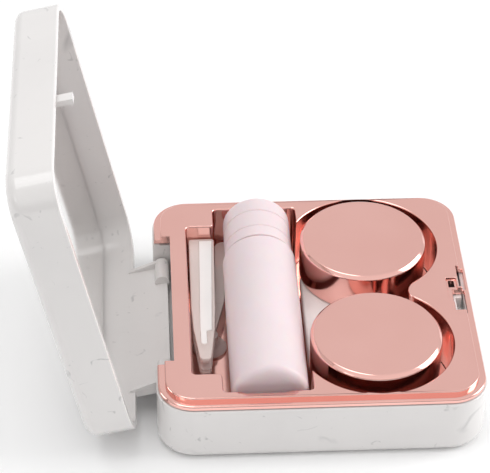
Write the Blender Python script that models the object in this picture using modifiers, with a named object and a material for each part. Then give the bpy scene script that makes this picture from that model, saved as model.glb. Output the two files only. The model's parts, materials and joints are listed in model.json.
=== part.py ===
"""Contact lens travel case with its contents, shown with the lid standing open.

Lengths are metres. The origin is the centre of the base's underside, +X points to the
latch side, +Y runs along the hinge and +Z is up. The lid is modelled closed and is swung
open by an empty on the hinge axis.
"""

import math

import bmesh
import bpy
from mathutils import Matrix, Vector

MM = 0.001
GAP = 0.3 * MM                     # between pieces that touch
SINK = 0.1 * MM                    # how far shapes that are joined reach into each other
THROUGH = 1 * MM                   # how far a cut runs past a face
PIN_CLEARANCE = 0.15 * MM          # radial clearance of the hinge pins

# Case: overall sizes and walls
CASE_X = 68 * MM
CASE_Y = 68 * MM
CORNER_RADIUS = 7.8 * MM
OUTER_EDGE_RADIUS = 2.4 * MM
SHELL_WALL = 1.6 * MM
SHELL_FLOOR = 1.5 * MM
SHELL_TOP = 13.2 * MM

# Plated tray that lies in the base
TRAY_WALL = 0.8 * MM
TRAY_MARGIN = 0.3 * MM             # how far the flange stops short of the shell's side
FLANGE_THICKNESS = 0.9 * MM
FLANGE_WIDTH = 1.5 * MM
PLATFORM_STEP = 1.0 * MM
FLANGE_EDGE = 0.35 * MM
PLATFORM_EDGE = 0.3 * MM
SCOOP_HALF_WIDTH = 5.8 * MM
SCOOP_DEPTH = 1.3 * MM
SCOOP_SHIFT = 1.0 * MM             # left of the bottle's axis

# Lid
LID_WALL = 1.5 * MM
LID_DEPTH = 9.7 * MM
LID_SKIN = 1.3 * MM
LID_INNER_EDGE = 1.0 * MM
LID_OPEN_ANGLE = math.radians(102.1)
TAPE_THICKNESS = 0.3 * MM
TAPE_INSET = 2.0 * MM              # from the mirror's edge
MIRROR_THICKNESS = 1.0 * MM
MIRROR_MARGIN = 1.5 * MM           # between the mirror's edge and the lid's wall

# Hinge
HINGE_INSET = 1.9 * MM             # axis inside the left side
HINGE_HEIGHT = 8.16 * MM
NOTCH_HALF_LENGTH = 20.5 * MM
NOTCH_DEPTH = 4.0 * MM
NOTCH_SILL = 5.45 * MM
FLAP_END_GAP = 0.6 * MM
FLAP_THICKNESS = 1.5 * MM
FLAP_TAIL = 1.1 * MM               # how far the flap reaches below the axis
FLAP_CHAMFER = 0.8 * MM
KNUCKLE_RADIUS = 1.6 * MM
KNUCKLE_LENGTH = 6.5 * MM
GUSSET_THICKNESS = 1.0 * MM
GUSSET_HEIGHT = 7.6 * MM
PIN_RADIUS = 0.75 * MM
PIN_BEARING = 3.8 * MM             # pin length held in the base
HINGE_BLOCK_WALL = 1.4 * MM

# Lens case: two screw-capped wells on a web
CAP_RADIUS = 13.75 * MM
CAP_HEIGHT = 9.0 * MM
CAP_TOP_THICKNESS = 0.8 * MM
CAP_WALL = 0.85 * MM
CAP_EDGE = 0.8 * MM
CAP_SPACING_GAP = 4.1 * MM         # between the two caps
LENS_CASE_X = 12.0 * MM
LINER_WALL = 0.7 * MM
LINER_TOP = 0.6 * MM
SEAL_THICKNESS = 0.65 * MM
NECK_WALL = 1.4 * MM
THREAD_ROOM = 0.7 * MM             # between the wells' necks and the liners
WELL_FOOT = 1.0 * MM               # how far a well's body stands out past its neck
WELL_FLOOR = 1.7 * MM
WELL_BOWL_DEPTH = 4.5 * MM
WEB_THICKNESS = 2.8 * MM
WEB_TOP = 8.0 * MM
WEB_RIGHT = 4.0 * MM               # right side of the web, from the wells' centres
WEB_CORNER = 2.5 * MM
WEB_EDGE = 0.6 * MM
CAP_PITCH = 3.0 * MM
CAP_THREAD_TURNS = 1.25
CAP_THREAD_HEIGHT = 0.35 * MM
THREAD_START = 1.3 * MM            # above the web

# Solution bottle, lying along Y
BOTTLE_RADIUS = 8.0 * MM
BOTTLE_X = -10.8 * MM
BOTTLE_NEAR_END = -29.3 * MM
BOTTLE_BODY_LENGTH = 43.6 * MM
BOTTLE_WALL = 1.0 * MM
BOTTLE_REST_HEIGHT = 4.6 * MM      # underside of the bottle above the table
BOTTLE_NECK_RADIUS = 4.8 * MM
BOTTLE_NECK_LENGTH = 6.7 * MM
BOTTLE_NECK_WALL = 1.4 * MM
BOTTLE_EDGE = 1.2 * MM
BOTTLE_CAP_INSET = 0.6 * MM        # of the cap's side from the bottle's
BOTTLE_CAP_LENGTH = 13.4 * MM
BOTTLE_CAP_TOP = 1.2 * MM
BOTTLE_CAP_STANDOFF = 0.5 * MM     # from the bottle's shoulder
BOTTLE_CAP_GROOVES = (4.9 * MM, 10.2 * MM)  # from the cap's end
GROOVE_DEPTH = 0.25 * MM
BOTTLE_PITCH = 1.5 * MM
BOTTLE_THREAD_HEIGHT = 0.3 * MM
NOZZLE_LENGTH = 4.4 * MM
NOZZLE_RADIUS = 1.2 * MM
DROPPER_BORE = 0.5 * MM
PLUG_FLANGE = 0.8 * MM

# Tweezers, lying along Y
TWEEZERS_X = -23.2 * MM
TWEEZERS_FAR_END = 23.4 * MM
TWEEZERS_LENGTH = 40.0 * MM
TWEEZERS_WIDTH = 5.6 * MM
TWEEZERS_OUTLINE = (               # distance from the far end over the length, sides over the width
    (0.0, -0.50, 0.50), (0.585, -0.52, 0.40), (0.76, -0.47, 0.34), (0.98, -0.285, 0.16),
    (1.0, -0.21, 0.09),
)
ARM_THICKNESS = 1.0 * MM
ARM_GAP = 2.7 * MM
TWEEZERS_BOTTOM = 7.4 * MM
HEAD_LENGTH = 6.0 * MM
HEAD_INSET = 0.4 * MM
HEAD_EDGE = 0.25 * MM
CORE_START = 0.8 * MM              # from the arm's far end
CORE_LENGTH = 30.0 * MM
CORE_FAR_SIDES = (-0.5 * MM, 2.3 * MM)
CORE_NEAR_SIDES = (-1.2 * MM, 1.3 * MM)
CORE_TAIL_LENGTH = 4.5 * MM
CORE_TAIL_SIDES = (-1.15 * MM, 0.15 * MM)
CORE_TAIL_DROP = 0.3 * MM          # of the tail's corners from the core's shoulder
CORE_DEPTH = 0.6 * MM
CORE_CLEARANCE = 0.2 * MM
CORE_PROUD = 0.1 * MM
PAD_LENGTH = 5.0 * MM
PAD_THICKNESS = 0.4 * MM
PAD_CLEARANCE = 0.1 * MM
PAD_CORNER = 0.6 * MM

# Lens remover: a flat wand with a suction cup
WAND_THICKNESS = 1.5 * MM
WAND_BOTTOM = 5.5 * MM
WAND_HEAD_RADIUS = 2.0 * MM
WAND_NECK_RADIUS = 1.0 * MM
WAND_HEAD = (-18.15 * MM, 26.6 * MM)
WAND_WAIST = (-19.8 * MM, 8.0 * MM)
WAND_WAIST_RADIUS = 1.1 * MM
WAND_BOSS_RADIUS = 1.8 * MM
WAND_EDGE = 0.3 * MM
CUP_RADIUS = 3.7 * MM
CUP_RIM = 0.5 * MM
CUP_HOLLOW = 0.8 * MM
CUP_CENTRE = (-22.3 * MM, -3.1 * MM)

# Pockets in the tray
POCKET_CLEARANCE = 2.55 * MM       # round the caps
POCKET_FILLET = 3.4 * MM
CONTENT_REST = 3.3 * MM            # lens case and remover stand this high
SLOT_SIDE_CLEARANCE = 0.4 * MM
SLOT_NEAR_ROOM = 8.1 * MM          # finger room beyond the tweezers' tips
BOTTLE_SIDE_CLEARANCE = 0.8 * MM
BOTTLE_END_CLEARANCE = 1.0 * MM
BOTTLE_CAP_ROOM = 1.5 * MM
CRADLE_WIDTH = 2.0 * MM
CRADLE_RISE = 1.7 * MM
CRADLE_INSET = 0.6 * MM            # on the wand's side

# Latch
BUTTON_LENGTH = 14.4 * MM
BUTTON_HEIGHT = 5.9 * MM
BUTTON_BOTTOM = 3.8 * MM
BUTTON_LIP = 0.7 * MM
BUTTON_FLANGE_THICKNESS = 1.3 * MM
BUTTON_TRAVEL = 1.2 * MM
BUTTON_FACE_SINK = 0.1 * MM
BUTTON_EDGE = 0.3 * MM
HOOK_BAR_WIDTH = 1.5 * MM
HOOK_BAR_THICKNESS = 0.7 * MM
HOOK_ARM_WIDTH = 1.0 * MM
CATCH_Y = -3.2 * MM
CATCH_LENGTH = 2.4 * MM
CATCH_THICKNESS = 1.2 * MM
CATCH_BARB = 0.6 * MM
CATCH_BOTTOM = 11.6 * MM
CATCH_FOOT = 1.0 * MM              # where it leaves the lid's wall, above the rim
CATCH_ROOT_HEIGHT = 2.0 * MM
BARB_LAND = 0.25 * MM
SPRING_RADIUS = 1.55 * MM
SPRING_WIRE_RADIUS = 0.18 * MM
SPRING_TURNS = 5
SPRING_POCKET_DEPTH = 1.8 * MM
SPRING_SOLID_ROOM = 0.9 * MM       # left behind the button when it is pressed home
SPRING_STOP_HALF = 4 * MM
SPRING_STOP_THICKNESS = 1.2 * MM

# Openings in the tray by the latch; sides are measured from the case's right side
CATCH_END_ROOM = 2.4 * MM          # along Y, past each end of the catch
CATCH_SWING_ROOM = 0.45 * MM       # left of the barb, for its arc
RISER_END_ROOM = 1.5 * MM          # along Y, between the catch and the button's risers
LATCH_RECESS_SIDES = (5.1 * MM, 2.95 * MM)
LATCH_RECESS_ENDS = (-4.0 * MM, 3.8 * MM)
LATCH_RECESS_DEPTH = 0.6 * MM
LATCH_HOLE_SIDES = (4.6 * MM, 3.4 * MM)
LATCH_HOLE_ENDS = (1.3 * MM, 3.5 * MM)
RIM_WINDOW_SIDES = (2.5 * MM, 1.0 * MM)
RIM_WINDOW_ENDS = (0.9 * MM, 7.7 * MM)

# Derived places
HALF_X = CASE_X / 2
HALF_Y = CASE_Y / 2
TRAY_BOTTOM = SHELL_FLOOR + GAP
TRAY_FLOOR = CONTENT_REST - GAP
FLANGE_BOTTOM = SHELL_TOP + GAP
FLANGE_TOP = FLANGE_BOTTOM + FLANGE_THICKNESS
PLATFORM_TOP = FLANGE_TOP + PLATFORM_STEP
LID_RIM = FLANGE_TOP + GAP
LID_TOP = LID_RIM + LID_DEPTH
LID_CEILING = LID_TOP - LID_SKIN
HINGE = Vector((-HALF_X + HINGE_INSET, 0, HINGE_HEIGHT))
CAP_Y = CAP_RADIUS + CAP_SPACING_GAP / 2
POCKET_RADIUS = CAP_RADIUS + POCKET_CLEARANCE
CAP_BOTTOM = WEB_TOP + GAP
CAP_CEILING = CAP_BOTTOM + CAP_HEIGHT - CAP_TOP_THICKNESS
CAP_BORE = CAP_RADIUS - CAP_WALL
LINER_RADIUS = CAP_BORE - GAP
LINER_BORE = LINER_RADIUS - LINER_WALL
LINER_UNDERSIDE = CAP_CEILING - GAP - LINER_TOP
SEAL_TOP = LINER_UNDERSIDE - GAP
NECK_TOP = SEAL_TOP - SEAL_THICKNESS - GAP
NECK_RADIUS = LINER_BORE - THREAD_ROOM
BOTTLE_Z = BOTTLE_REST_HEIGHT + BOTTLE_RADIUS
BOTTLE_CAP_RADIUS = BOTTLE_RADIUS - BOTTLE_CAP_INSET
BOTTLE_SHOULDER = BOTTLE_NEAR_END + BOTTLE_BODY_LENGTH
BOTTLE_CAP_START = BOTTLE_SHOULDER + BOTTLE_CAP_STANDOFF
BOTTLE_CAP_END = BOTTLE_CAP_START + BOTTLE_CAP_LENGTH
SLOT_LEFT = TWEEZERS_X - TWEEZERS_WIDTH / 2 - SLOT_SIDE_CLEARANCE
SLOT_FAR = TWEEZERS_FAR_END + GAP
SLOT_NEAR = TWEEZERS_FAR_END - TWEEZERS_LENGTH - SLOT_NEAR_ROOM
RECESS_LEFT = WAND_HEAD[0] - WAND_HEAD_RADIUS - GAP
RECESS_RIGHT = BOTTLE_X + BOTTLE_RADIUS + BOTTLE_SIDE_CLEARANCE
RECESS_NEAR = BOTTLE_NEAR_END - BOTTLE_END_CLEARANCE
RECESS_FAR = BOTTLE_CAP_END + BOTTLE_CAP_ROOM
WALL_FACE_X = HALF_X - SHELL_WALL  # inner face of the latch side's wall
BUTTON_BACK_X = WALL_FACE_X - GAP - BUTTON_FLANGE_THICKNESS
HOOK_BAR_TOP = FLANGE_BOTTOM - GAP
CATCH_RIGHT_X = HALF_X - LID_WALL - GAP
CATCH_LEFT_X = CATCH_RIGHT_X - CATCH_THICKNESS
HOOK_RIGHT_X = CATCH_LEFT_X - GAP
SPRING_Z = BUTTON_BOTTOM + BUTTON_HEIGHT / 2
SPRING_STOP_X = BUTTON_BACK_X - BUTTON_TRAVEL - SPRING_SOLID_ROOM


# Scene and helper functions

for old in list(bpy.data.objects):
    bpy.data.objects.remove(old, do_unlink=True)


def collection(name):
    """Make a collection and link it to the scene."""
    group = bpy.data.collections.new(name)
    bpy.context.scene.collection.children.link(group)
    return group


PARTS = collection("contact_lens_case")
CUTTERS = collection("cutters")


def material(name, colour, roughness, metallic=0.0, alpha=1.0):
    """A plain Principled material."""
    made = bpy.data.materials.new(name)
    made.use_nodes = True
    shader = made.node_tree.nodes["Principled BSDF"]
    shader.inputs["Base Color"].default_value = (*colour, 1)
    shader.inputs["Roughness"].default_value = roughness
    shader.inputs["Metallic"].default_value = metallic
    shader.inputs["Alpha"].default_value = alpha
    return made


MARBLE = material("marbled_plastic", (0.78, 0.77, 0.76), 0.25)
ROSE_GOLD = material("rose_gold_plating", (0.80, 0.42, 0.35), 0.2, 1.0)
WHITE = material("white_plastic", (0.88, 0.87, 0.86), 0.35)
FROSTED = material("frosted_plastic", (0.86, 0.76, 0.78), 0.45, 0.0, 0.8)
CLEAR = material("clear_soft_plastic", (0.86, 0.78, 0.76), 0.3, 0.0, 0.6)
RUBBER = material("silicone", (0.85, 0.83, 0.81), 0.6)
STEEL = material("steel", (0.6, 0.6, 0.6), 0.3, 1.0)
MIRROR = material("mirror_glass", (0.9, 0.9, 0.9), 0.02, 1.0)
FOAM = material("adhesive_foam", (0.75, 0.75, 0.73), 0.8)


def arc(centre, radius, start, end, count):
    """Points on an arc, both ends included; angles in degrees."""
    points = []
    for step in range(count + 1):
        angle = math.radians(start + (end - start) * step / count)
        points.append((centre[0] + radius * math.cos(angle), centre[1] + radius * math.sin(angle)))
    return points


def rounded_rectangle(low, high, radius, count=6):
    """Outline of a rectangle with round corners, anticlockwise."""
    points = []
    corners = ((high[0], low[1], -90), (high[0], high[1], 0), (low[0], high[1], 90), (low[0], low[1], 180))
    for x, y, start in corners:
        centre = (x - radius if x == high[0] else x + radius, y - radius if y == high[1] else y + radius)
        points += arc(centre, radius, start, start + 90, count)
    return points


def tapered_outline(first, first_radius, second, second_radius, count=10):
    """Outline round two discs and their common tangents, anticlockwise."""
    direction = Vector(second) - Vector(first)
    heading = math.degrees(math.atan2(direction.y, direction.x))
    spread = math.degrees(math.acos((first_radius - second_radius) / direction.length))
    around_first = arc(first, first_radius, heading + spread, heading + 360 - spread, count)
    around_second = arc(second, second_radius, heading - spread, heading + spread, count)
    return around_first + around_second


def clean(mesh):
    """Weld a mesh, merge its flat faces and turn every face outwards."""
    shape = bmesh.new()
    shape.from_mesh(mesh)
    bmesh.ops.remove_doubles(shape, verts=shape.verts, dist=1e-6)
    bmesh.ops.dissolve_limit(shape, angle_limit=0.001, verts=shape.verts, edges=shape.edges)
    bmesh.ops.recalc_face_normals(shape, faces=shape.faces)
    shape.to_mesh(mesh)
    shape.free()


def mesh_from_curve(curve):
    """The closed mesh that a curve makes."""
    holder = bpy.data.objects.new(curve.name, curve)
    bpy.context.scene.collection.objects.link(holder)
    view = bpy.context.evaluated_depsgraph_get()
    mesh = bpy.data.meshes.new_from_object(holder.evaluated_get(view))
    bpy.data.objects.remove(holder, do_unlink=True)
    return mesh


def round_rim(mesh, height, radius, segments):
    """Round the edges of a prism that lie at one height."""
    shape = bmesh.new()
    shape.from_mesh(mesh)
    rim = [edge for edge in shape.edges if all(abs(v.co.z - height) < 1e-6 for v in edge.verts)]
    bmesh.ops.bevel(shape, geom=rim, offset=radius, segments=segments, profile=0.5, affect="EDGES")
    shape.to_mesh(mesh)
    shape.free()


def prism(outline, low, high, round_top=0.0, round_bottom=0.0, segments=3):
    """An outline in XY extruded from height low to height high."""
    curve = bpy.data.curves.new("outline", "CURVE")
    curve.dimensions = "2D"
    curve.fill_mode = "BOTH"
    curve.extrude = (high - low) / 2
    spline = curve.splines.new("POLY")
    spline.points.add(len(outline) - 1)
    for point, (x, y) in zip(spline.points, outline):
        point.co = (x, y, 0, 1)
    spline.use_cyclic_u = True
    mesh = mesh_from_curve(curve)
    mesh.transform(Matrix.Translation((0, 0, (low + high) / 2)))
    clean(mesh)
    if round_top:
        round_rim(mesh, high, round_top, segments)
    if round_bottom:
        round_rim(mesh, low, round_bottom, segments)
    return mesh


def prism_along_y(outline, low, high):
    """An outline in XZ extruded from y = low to y = high."""
    mesh = prism(outline, -high, -low)
    mesh.transform(Matrix.Rotation(math.pi / 2, 4, "X"))
    return mesh


def block(low, high, bevel=0.0):
    """A box between two corners, its edges bevelled on request."""
    shape = bmesh.new()
    bmesh.ops.create_cube(shape, size=1)
    size = Vector(high) - Vector(low)
    bmesh.ops.scale(shape, vec=size, verts=shape.verts)
    bmesh.ops.translate(shape, vec=(Vector(high) + Vector(low)) / 2, verts=shape.verts)
    if bevel:
        bmesh.ops.bevel(shape, geom=shape.edges, offset=bevel, segments=2, profile=0.5, affect="EDGES")
    mesh = bpy.data.meshes.new("block")
    shape.to_mesh(mesh)
    shape.free()
    return mesh


def rod(start, end, radius, segments=24):
    """A round bar between two points."""
    axis = Vector(end) - Vector(start)
    shape = bmesh.new()
    bmesh.ops.create_cone(
        shape, cap_ends=True, segments=segments, radius1=radius, radius2=radius, depth=axis.length
    )
    turn = Vector((0, 0, 1)).rotation_difference(axis).to_matrix().to_4x4()
    place = Matrix.Translation((Vector(start) + Vector(end)) / 2) @ turn
    bmesh.ops.transform(shape, matrix=place, verts=shape.verts)
    mesh = bpy.data.meshes.new("rod")
    shape.to_mesh(mesh)
    shape.free()
    return mesh


def turned(profile, steps=40):
    """A profile of (radius, height) points turned about Z, as one mesh.

    The points start inside or on the axis and come down the outer side.
    """
    mesh = bpy.data.meshes.new("profile")
    edges = [(index, index + 1) for index in range(len(profile) - 1)]
    mesh.from_pydata([(radius, 0, height) for radius, height in profile], edges, [])
    holder = bpy.data.objects.new("profile", mesh)
    bpy.context.scene.collection.objects.link(holder)
    screw = holder.modifiers.new("turn", "SCREW")
    screw.steps = steps
    screw.render_steps = steps
    screw.use_merge_vertices = True
    screw.merge_threshold = 1e-6
    view = bpy.context.evaluated_depsgraph_get()
    result = bpy.data.meshes.new_from_object(holder.evaluated_get(view))
    bpy.data.objects.remove(holder, do_unlink=True)
    shape = bmesh.new()
    shape.from_mesh(result)
    bmesh.ops.remove_doubles(shape, verts=shape.verts, dist=1e-6)
    shape.to_mesh(result)
    shape.free()
    return result


def wire(points, radius, resolution=1):
    """A round wire through points, with closed ends."""
    curve = bpy.data.curves.new("wire", "CURVE")
    curve.dimensions = "3D"
    curve.bevel_depth = radius
    curve.bevel_resolution = resolution
    curve.use_fill_caps = True
    spline = curve.splines.new("POLY")
    spline.points.add(len(points) - 1)
    for point, place in zip(spline.points, points):
        point.co = (*place, 1)
    mesh = mesh_from_curve(curve)
    clean(mesh)
    return mesh


def helix(radius, start, pitch, turns, points_per_turn=24):
    """Points of a helix about Z that starts at height start."""
    points = []
    for step in range(round(turns * points_per_turn) + 1):
        turn = step / points_per_turn
        angle = 2 * math.pi * turn
        points.append((radius * math.cos(angle), radius * math.sin(angle), start + pitch * turn))
    return points


def place(name, mesh, group, location, rotation, parent):
    """Put a mesh into the scene as one object."""
    mesh.name = name
    mesh.shade_smooth()
    mesh.set_sharp_from_angle(angle=math.radians(35))
    made = bpy.data.objects.new(name, mesh)
    made.location = location
    made.rotation_euler = rotation
    made.parent = parent
    group.objects.link(made)
    return made


def piece(name, mesh, look, location=(0, 0, 0), rotation=(0, 0, 0), parent=None):
    """One physical piece of the object."""
    made = place(name, mesh, PARTS, location, rotation, parent)
    made.data.materials.clear()
    made.data.materials.append(look)
    return made


def shape_by(target, operation, name, mesh):
    """Cut or join a tool mesh that is given in the target's own coordinates."""
    tool = place(name, mesh, CUTTERS, target.location, target.rotation_euler, target.parent)
    tool.hide_render = True
    tool.display_type = "WIRE"
    step = target.modifiers.new(name, "BOOLEAN")
    step.operation = operation
    step.solver = "EXACT"
    step.object = tool


def cut(target, name, mesh):
    """Remove a shape from a piece."""
    shape_by(target, "DIFFERENCE", name + "_cutter", mesh)


def join(target, name, mesh):
    """Add a shape to a piece."""
    shape_by(target, "UNION", name + "_body", mesh)


def empty(name, location, rotation=(0, 0, 0)):
    """A joint's axis."""
    made = bpy.data.objects.new(name, None)
    made.location = location
    made.rotation_euler = rotation
    made.empty_display_size = 5 * MM
    PARTS.objects.link(made)
    return made


def centred_rectangle(half_x, half_y, radius, count=6):
    """A rounded rectangle about the case's centre."""
    return rounded_rectangle((-half_x, -half_y), (half_x, half_y), radius, count)


def pocket_outline(grow=0.0):
    """The one opening for tweezers, bottle and lens case, grown by a wall.

    It runs anticlockwise from the slot's near left corner: slot, bottle recess, near
    cap pocket, fillet between the caps, far cap pocket, recess and slot again.
    """
    radius = POCKET_RADIUS + grow
    fillet = POCKET_FILLET - grow
    right = RECESS_RIGHT + grow
    rise = math.sqrt(radius**2 - (LENS_CASE_X - right) ** 2)
    meet = math.degrees(math.atan2(rise, right - LENS_CASE_X))
    fillet_x = LENS_CASE_X + math.sqrt((radius + fillet) ** 2 - CAP_Y**2)
    touch = math.degrees(math.atan2(CAP_Y, fillet_x - LENS_CASE_X))
    near_arc = arc((LENS_CASE_X, -CAP_Y), radius, -meet, touch, 30)
    fillet_arc = arc((fillet_x, 0), fillet, 180 + touch, 180 - touch, 6)
    far_arc = arc((LENS_CASE_X, CAP_Y), radius, -touch, meet, 30)
    return [
        (SLOT_LEFT - grow, SLOT_NEAR - grow),
        (RECESS_LEFT - grow, SLOT_NEAR - grow),
        (RECESS_LEFT - grow, RECESS_NEAR - grow),
        (right, RECESS_NEAR - grow),
        *near_arc,
        *fillet_arc[1:-1],
        *far_arc,
        (right, RECESS_FAR + grow),
        (RECESS_LEFT - grow, RECESS_FAR + grow),
        (RECESS_LEFT - grow, SLOT_FAR + grow),
        (SLOT_LEFT - grow, SLOT_FAR + grow),
    ]


def make_base_shell():
    """The lower casing with its hinge notch, latch window and spring stop."""
    outer = prism(
        centred_rectangle(HALF_X, HALF_Y, CORNER_RADIUS), 0, SHELL_TOP,
        round_bottom=OUTER_EDGE_RADIUS, segments=4,
    )
    shell = piece("base_shell", outer, MARBLE)
    inner = centred_rectangle(HALF_X - SHELL_WALL, HALF_Y - SHELL_WALL, CORNER_RADIUS - SHELL_WALL)
    cut(shell, "base_cavity", prism(inner, SHELL_FLOOR, SHELL_TOP + THROUGH))
    cut(shell, "tub_relief", prism(pocket_outline(TRAY_WALL + GAP), SHELL_FLOOR, SHELL_TOP + THROUGH))
    notch_x = -HALF_X + NOTCH_DEPTH
    block_end = NOTCH_HALF_LENGTH + PIN_BEARING + HINGE_BLOCK_WALL
    join(shell, "hinge_block", block(
        (-HALF_X + SHELL_WALL / 2, -block_end, SHELL_FLOOR / 2),
        (notch_x + HINGE_BLOCK_WALL, block_end, SHELL_TOP - GAP),
    ))
    cut(shell, "hinge_notch", block(
        (-HALF_X - THROUGH, -NOTCH_HALF_LENGTH, NOTCH_SILL),
        (notch_x, NOTCH_HALF_LENGTH, SHELL_TOP + THROUGH),
    ))
    bore_end = NOTCH_HALF_LENGTH + PIN_BEARING
    cut(shell, "pin_bore", rod(
        (HINGE.x, -bore_end, HINGE.z), (HINGE.x, bore_end, HINGE.z), PIN_RADIUS + PIN_CLEARANCE
    ))
    cut(shell, "latch_window", block(
        (WALL_FACE_X - THROUGH, -BUTTON_LENGTH / 2 - GAP, BUTTON_BOTTOM - GAP),
        (HALF_X + THROUGH, BUTTON_LENGTH / 2 + GAP, BUTTON_BOTTOM + BUTTON_HEIGHT + GAP),
    ))
    join(shell, "spring_stop", block(
        (SPRING_STOP_X - SPRING_STOP_THICKNESS, -SPRING_STOP_HALF, SHELL_FLOOR / 2),
        (SPRING_STOP_X, SPRING_STOP_HALF, SPRING_Z + 1.5 * SPRING_RADIUS),
    ))


def make_tray():
    """The plated tray: flange, raised platform, pocket tub and bottle cradles."""
    top = PLATFORM_TOP + THROUGH
    flange_x = HALF_X - TRAY_MARGIN
    flange_y = HALF_Y - TRAY_MARGIN
    corner = CORNER_RADIUS - TRAY_MARGIN
    flange = prism(
        centred_rectangle(flange_x, flange_y, corner), FLANGE_BOTTOM, FLANGE_TOP,
        round_top=FLANGE_EDGE, segments=2,
    )
    tray = piece("tray_insert", flange, ROSE_GOLD)
    platform = centred_rectangle(flange_x - FLANGE_WIDTH, flange_y - FLANGE_WIDTH, corner - FLANGE_WIDTH)
    join(tray, "platform", prism(
        platform, FLANGE_BOTTOM + SINK, PLATFORM_TOP, round_top=PLATFORM_EDGE, segments=2
    ))
    join(tray, "tub", prism(pocket_outline(TRAY_WALL), TRAY_BOTTOM, FLANGE_TOP))
    cut(tray, "pocket", prism(pocket_outline(), TRAY_FLOOR, top))
    for name, centre in (("near", BOTTLE_NEAR_END + 0.28 * BOTTLE_BODY_LENGTH),
                         ("far", BOTTLE_NEAR_END + 0.88 * BOTTLE_BODY_LENGTH)):
        join(tray, f"cradle_{name}", block(
            (BOTTLE_X - BOTTLE_RADIUS + CRADLE_INSET, centre - CRADLE_WIDTH / 2, TRAY_FLOOR - TRAY_WALL / 2),
            (BOTTLE_X + BOTTLE_RADIUS, centre + CRADLE_WIDTH / 2, BOTTLE_REST_HEIGHT + CRADLE_RISE),
        ))
    cut(tray, "cradle_round", rod(
        (BOTTLE_X, RECESS_NEAR + GAP, BOTTLE_Z), (BOTTLE_X, BOTTLE_SHOULDER + GAP, BOTTLE_Z),
        BOTTLE_RADIUS + GAP, 48,
    ))
    cut(tray, "hinge_notch_in_tray", block(
        (-HALF_X - THROUGH, -NOTCH_HALF_LENGTH, TRAY_FLOOR),
        (-HALF_X + NOTCH_DEPTH - 2 * SINK, NOTCH_HALF_LENGTH, top),
    ))
    scoop_radius = (SCOOP_HALF_WIDTH**2 + SCOOP_DEPTH**2) / (2 * SCOOP_DEPTH)
    scoop_x = BOTTLE_X - SCOOP_SHIFT
    scoop_z = PLATFORM_TOP - SCOOP_DEPTH + scoop_radius
    cut(tray, "thumb_scoop", rod(
        (scoop_x, RECESS_NEAR - TRAY_WALL, scoop_z), (scoop_x, RECESS_NEAR + THROUGH, scoop_z),
        scoop_radius, 64,
    ))
    cut_latch_openings(tray, top)


def cut_latch_openings(tray, top):
    """Openings in the tray for the lid's catch, over the button and beside it."""
    catch_half = CATCH_LENGTH / 2 + CATCH_END_ROOM
    below = FLANGE_BOTTOM - THROUGH
    cut(tray, "catch_slot", block(
        (CATCH_LEFT_X - CATCH_BARB - CATCH_SWING_ROOM, CATCH_Y - catch_half, below),
        (CATCH_RIGHT_X + GAP, CATCH_Y + catch_half, top),
    ))
    for name, sides, ends, floor in (
        ("rim_window", RIM_WINDOW_SIDES, RIM_WINDOW_ENDS, below),
        ("latch_recess", LATCH_RECESS_SIDES, LATCH_RECESS_ENDS, PLATFORM_TOP - LATCH_RECESS_DEPTH),
        ("latch_hole", LATCH_HOLE_SIDES, LATCH_HOLE_ENDS, below),
    ):
        cut(tray, name, block((HALF_X - sides[0], ends[0], floor), (HALF_X - sides[1], ends[1], top)))


def make_hinge_pins():
    """Two short steel pins, each from the base's bore into a lid knuckle."""
    inner = NOTCH_HALF_LENGTH - FLAP_END_GAP - KNUCKLE_LENGTH + 2 * GAP
    outer = NOTCH_HALF_LENGTH + PIN_BEARING - GAP
    for name, side in (("far", 1), ("near", -1)):
        mesh = rod((0, side * inner, 0), (0, side * outer, 0), PIN_RADIUS)
        piece(f"hinge_pin_{name}", mesh, STEEL, location=HINGE)


def make_lid():
    """The upper casing, its mirror and the tape behind it, on the hinge axis."""
    axis = empty("lid_hinge_axis", HINGE, (0, -LID_OPEN_ANGLE, 0))
    offset = -HINGE
    outer = prism(
        centred_rectangle(HALF_X, HALF_Y, CORNER_RADIUS), LID_RIM, LID_TOP,
        round_top=OUTER_EDGE_RADIUS, segments=4,
    )
    lid = piece("lid_shell", outer, MARBLE, offset, parent=axis)
    inner_x = HALF_X - LID_WALL
    inner_y = HALF_Y - LID_WALL
    inner = centred_rectangle(inner_x, inner_y, CORNER_RADIUS - LID_WALL)
    cut(lid, "lid_cavity", prism(inner, LID_RIM - THROUGH, LID_CEILING, round_top=LID_INNER_EDGE))
    add_hinge_flap(lid)
    add_catch(lid)
    back = LID_CEILING - GAP
    side_x = inner_x - MIRROR_MARGIN
    side_y = inner_y - MIRROR_MARGIN
    corner = CORNER_RADIUS - LID_WALL - MIRROR_MARGIN
    tape = centred_rectangle(side_x - TAPE_INSET, side_y - TAPE_INSET, corner - TAPE_INSET)
    piece("mirror_tape", prism(tape, back - TAPE_THICKNESS, back), FOAM, offset, parent=axis)
    glass_top = back - TAPE_THICKNESS - GAP
    glass = prism(centred_rectangle(side_x, side_y, corner), glass_top - MIRROR_THICKNESS, glass_top)
    piece("mirror", glass, MIRROR, offset, parent=axis)


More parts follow.
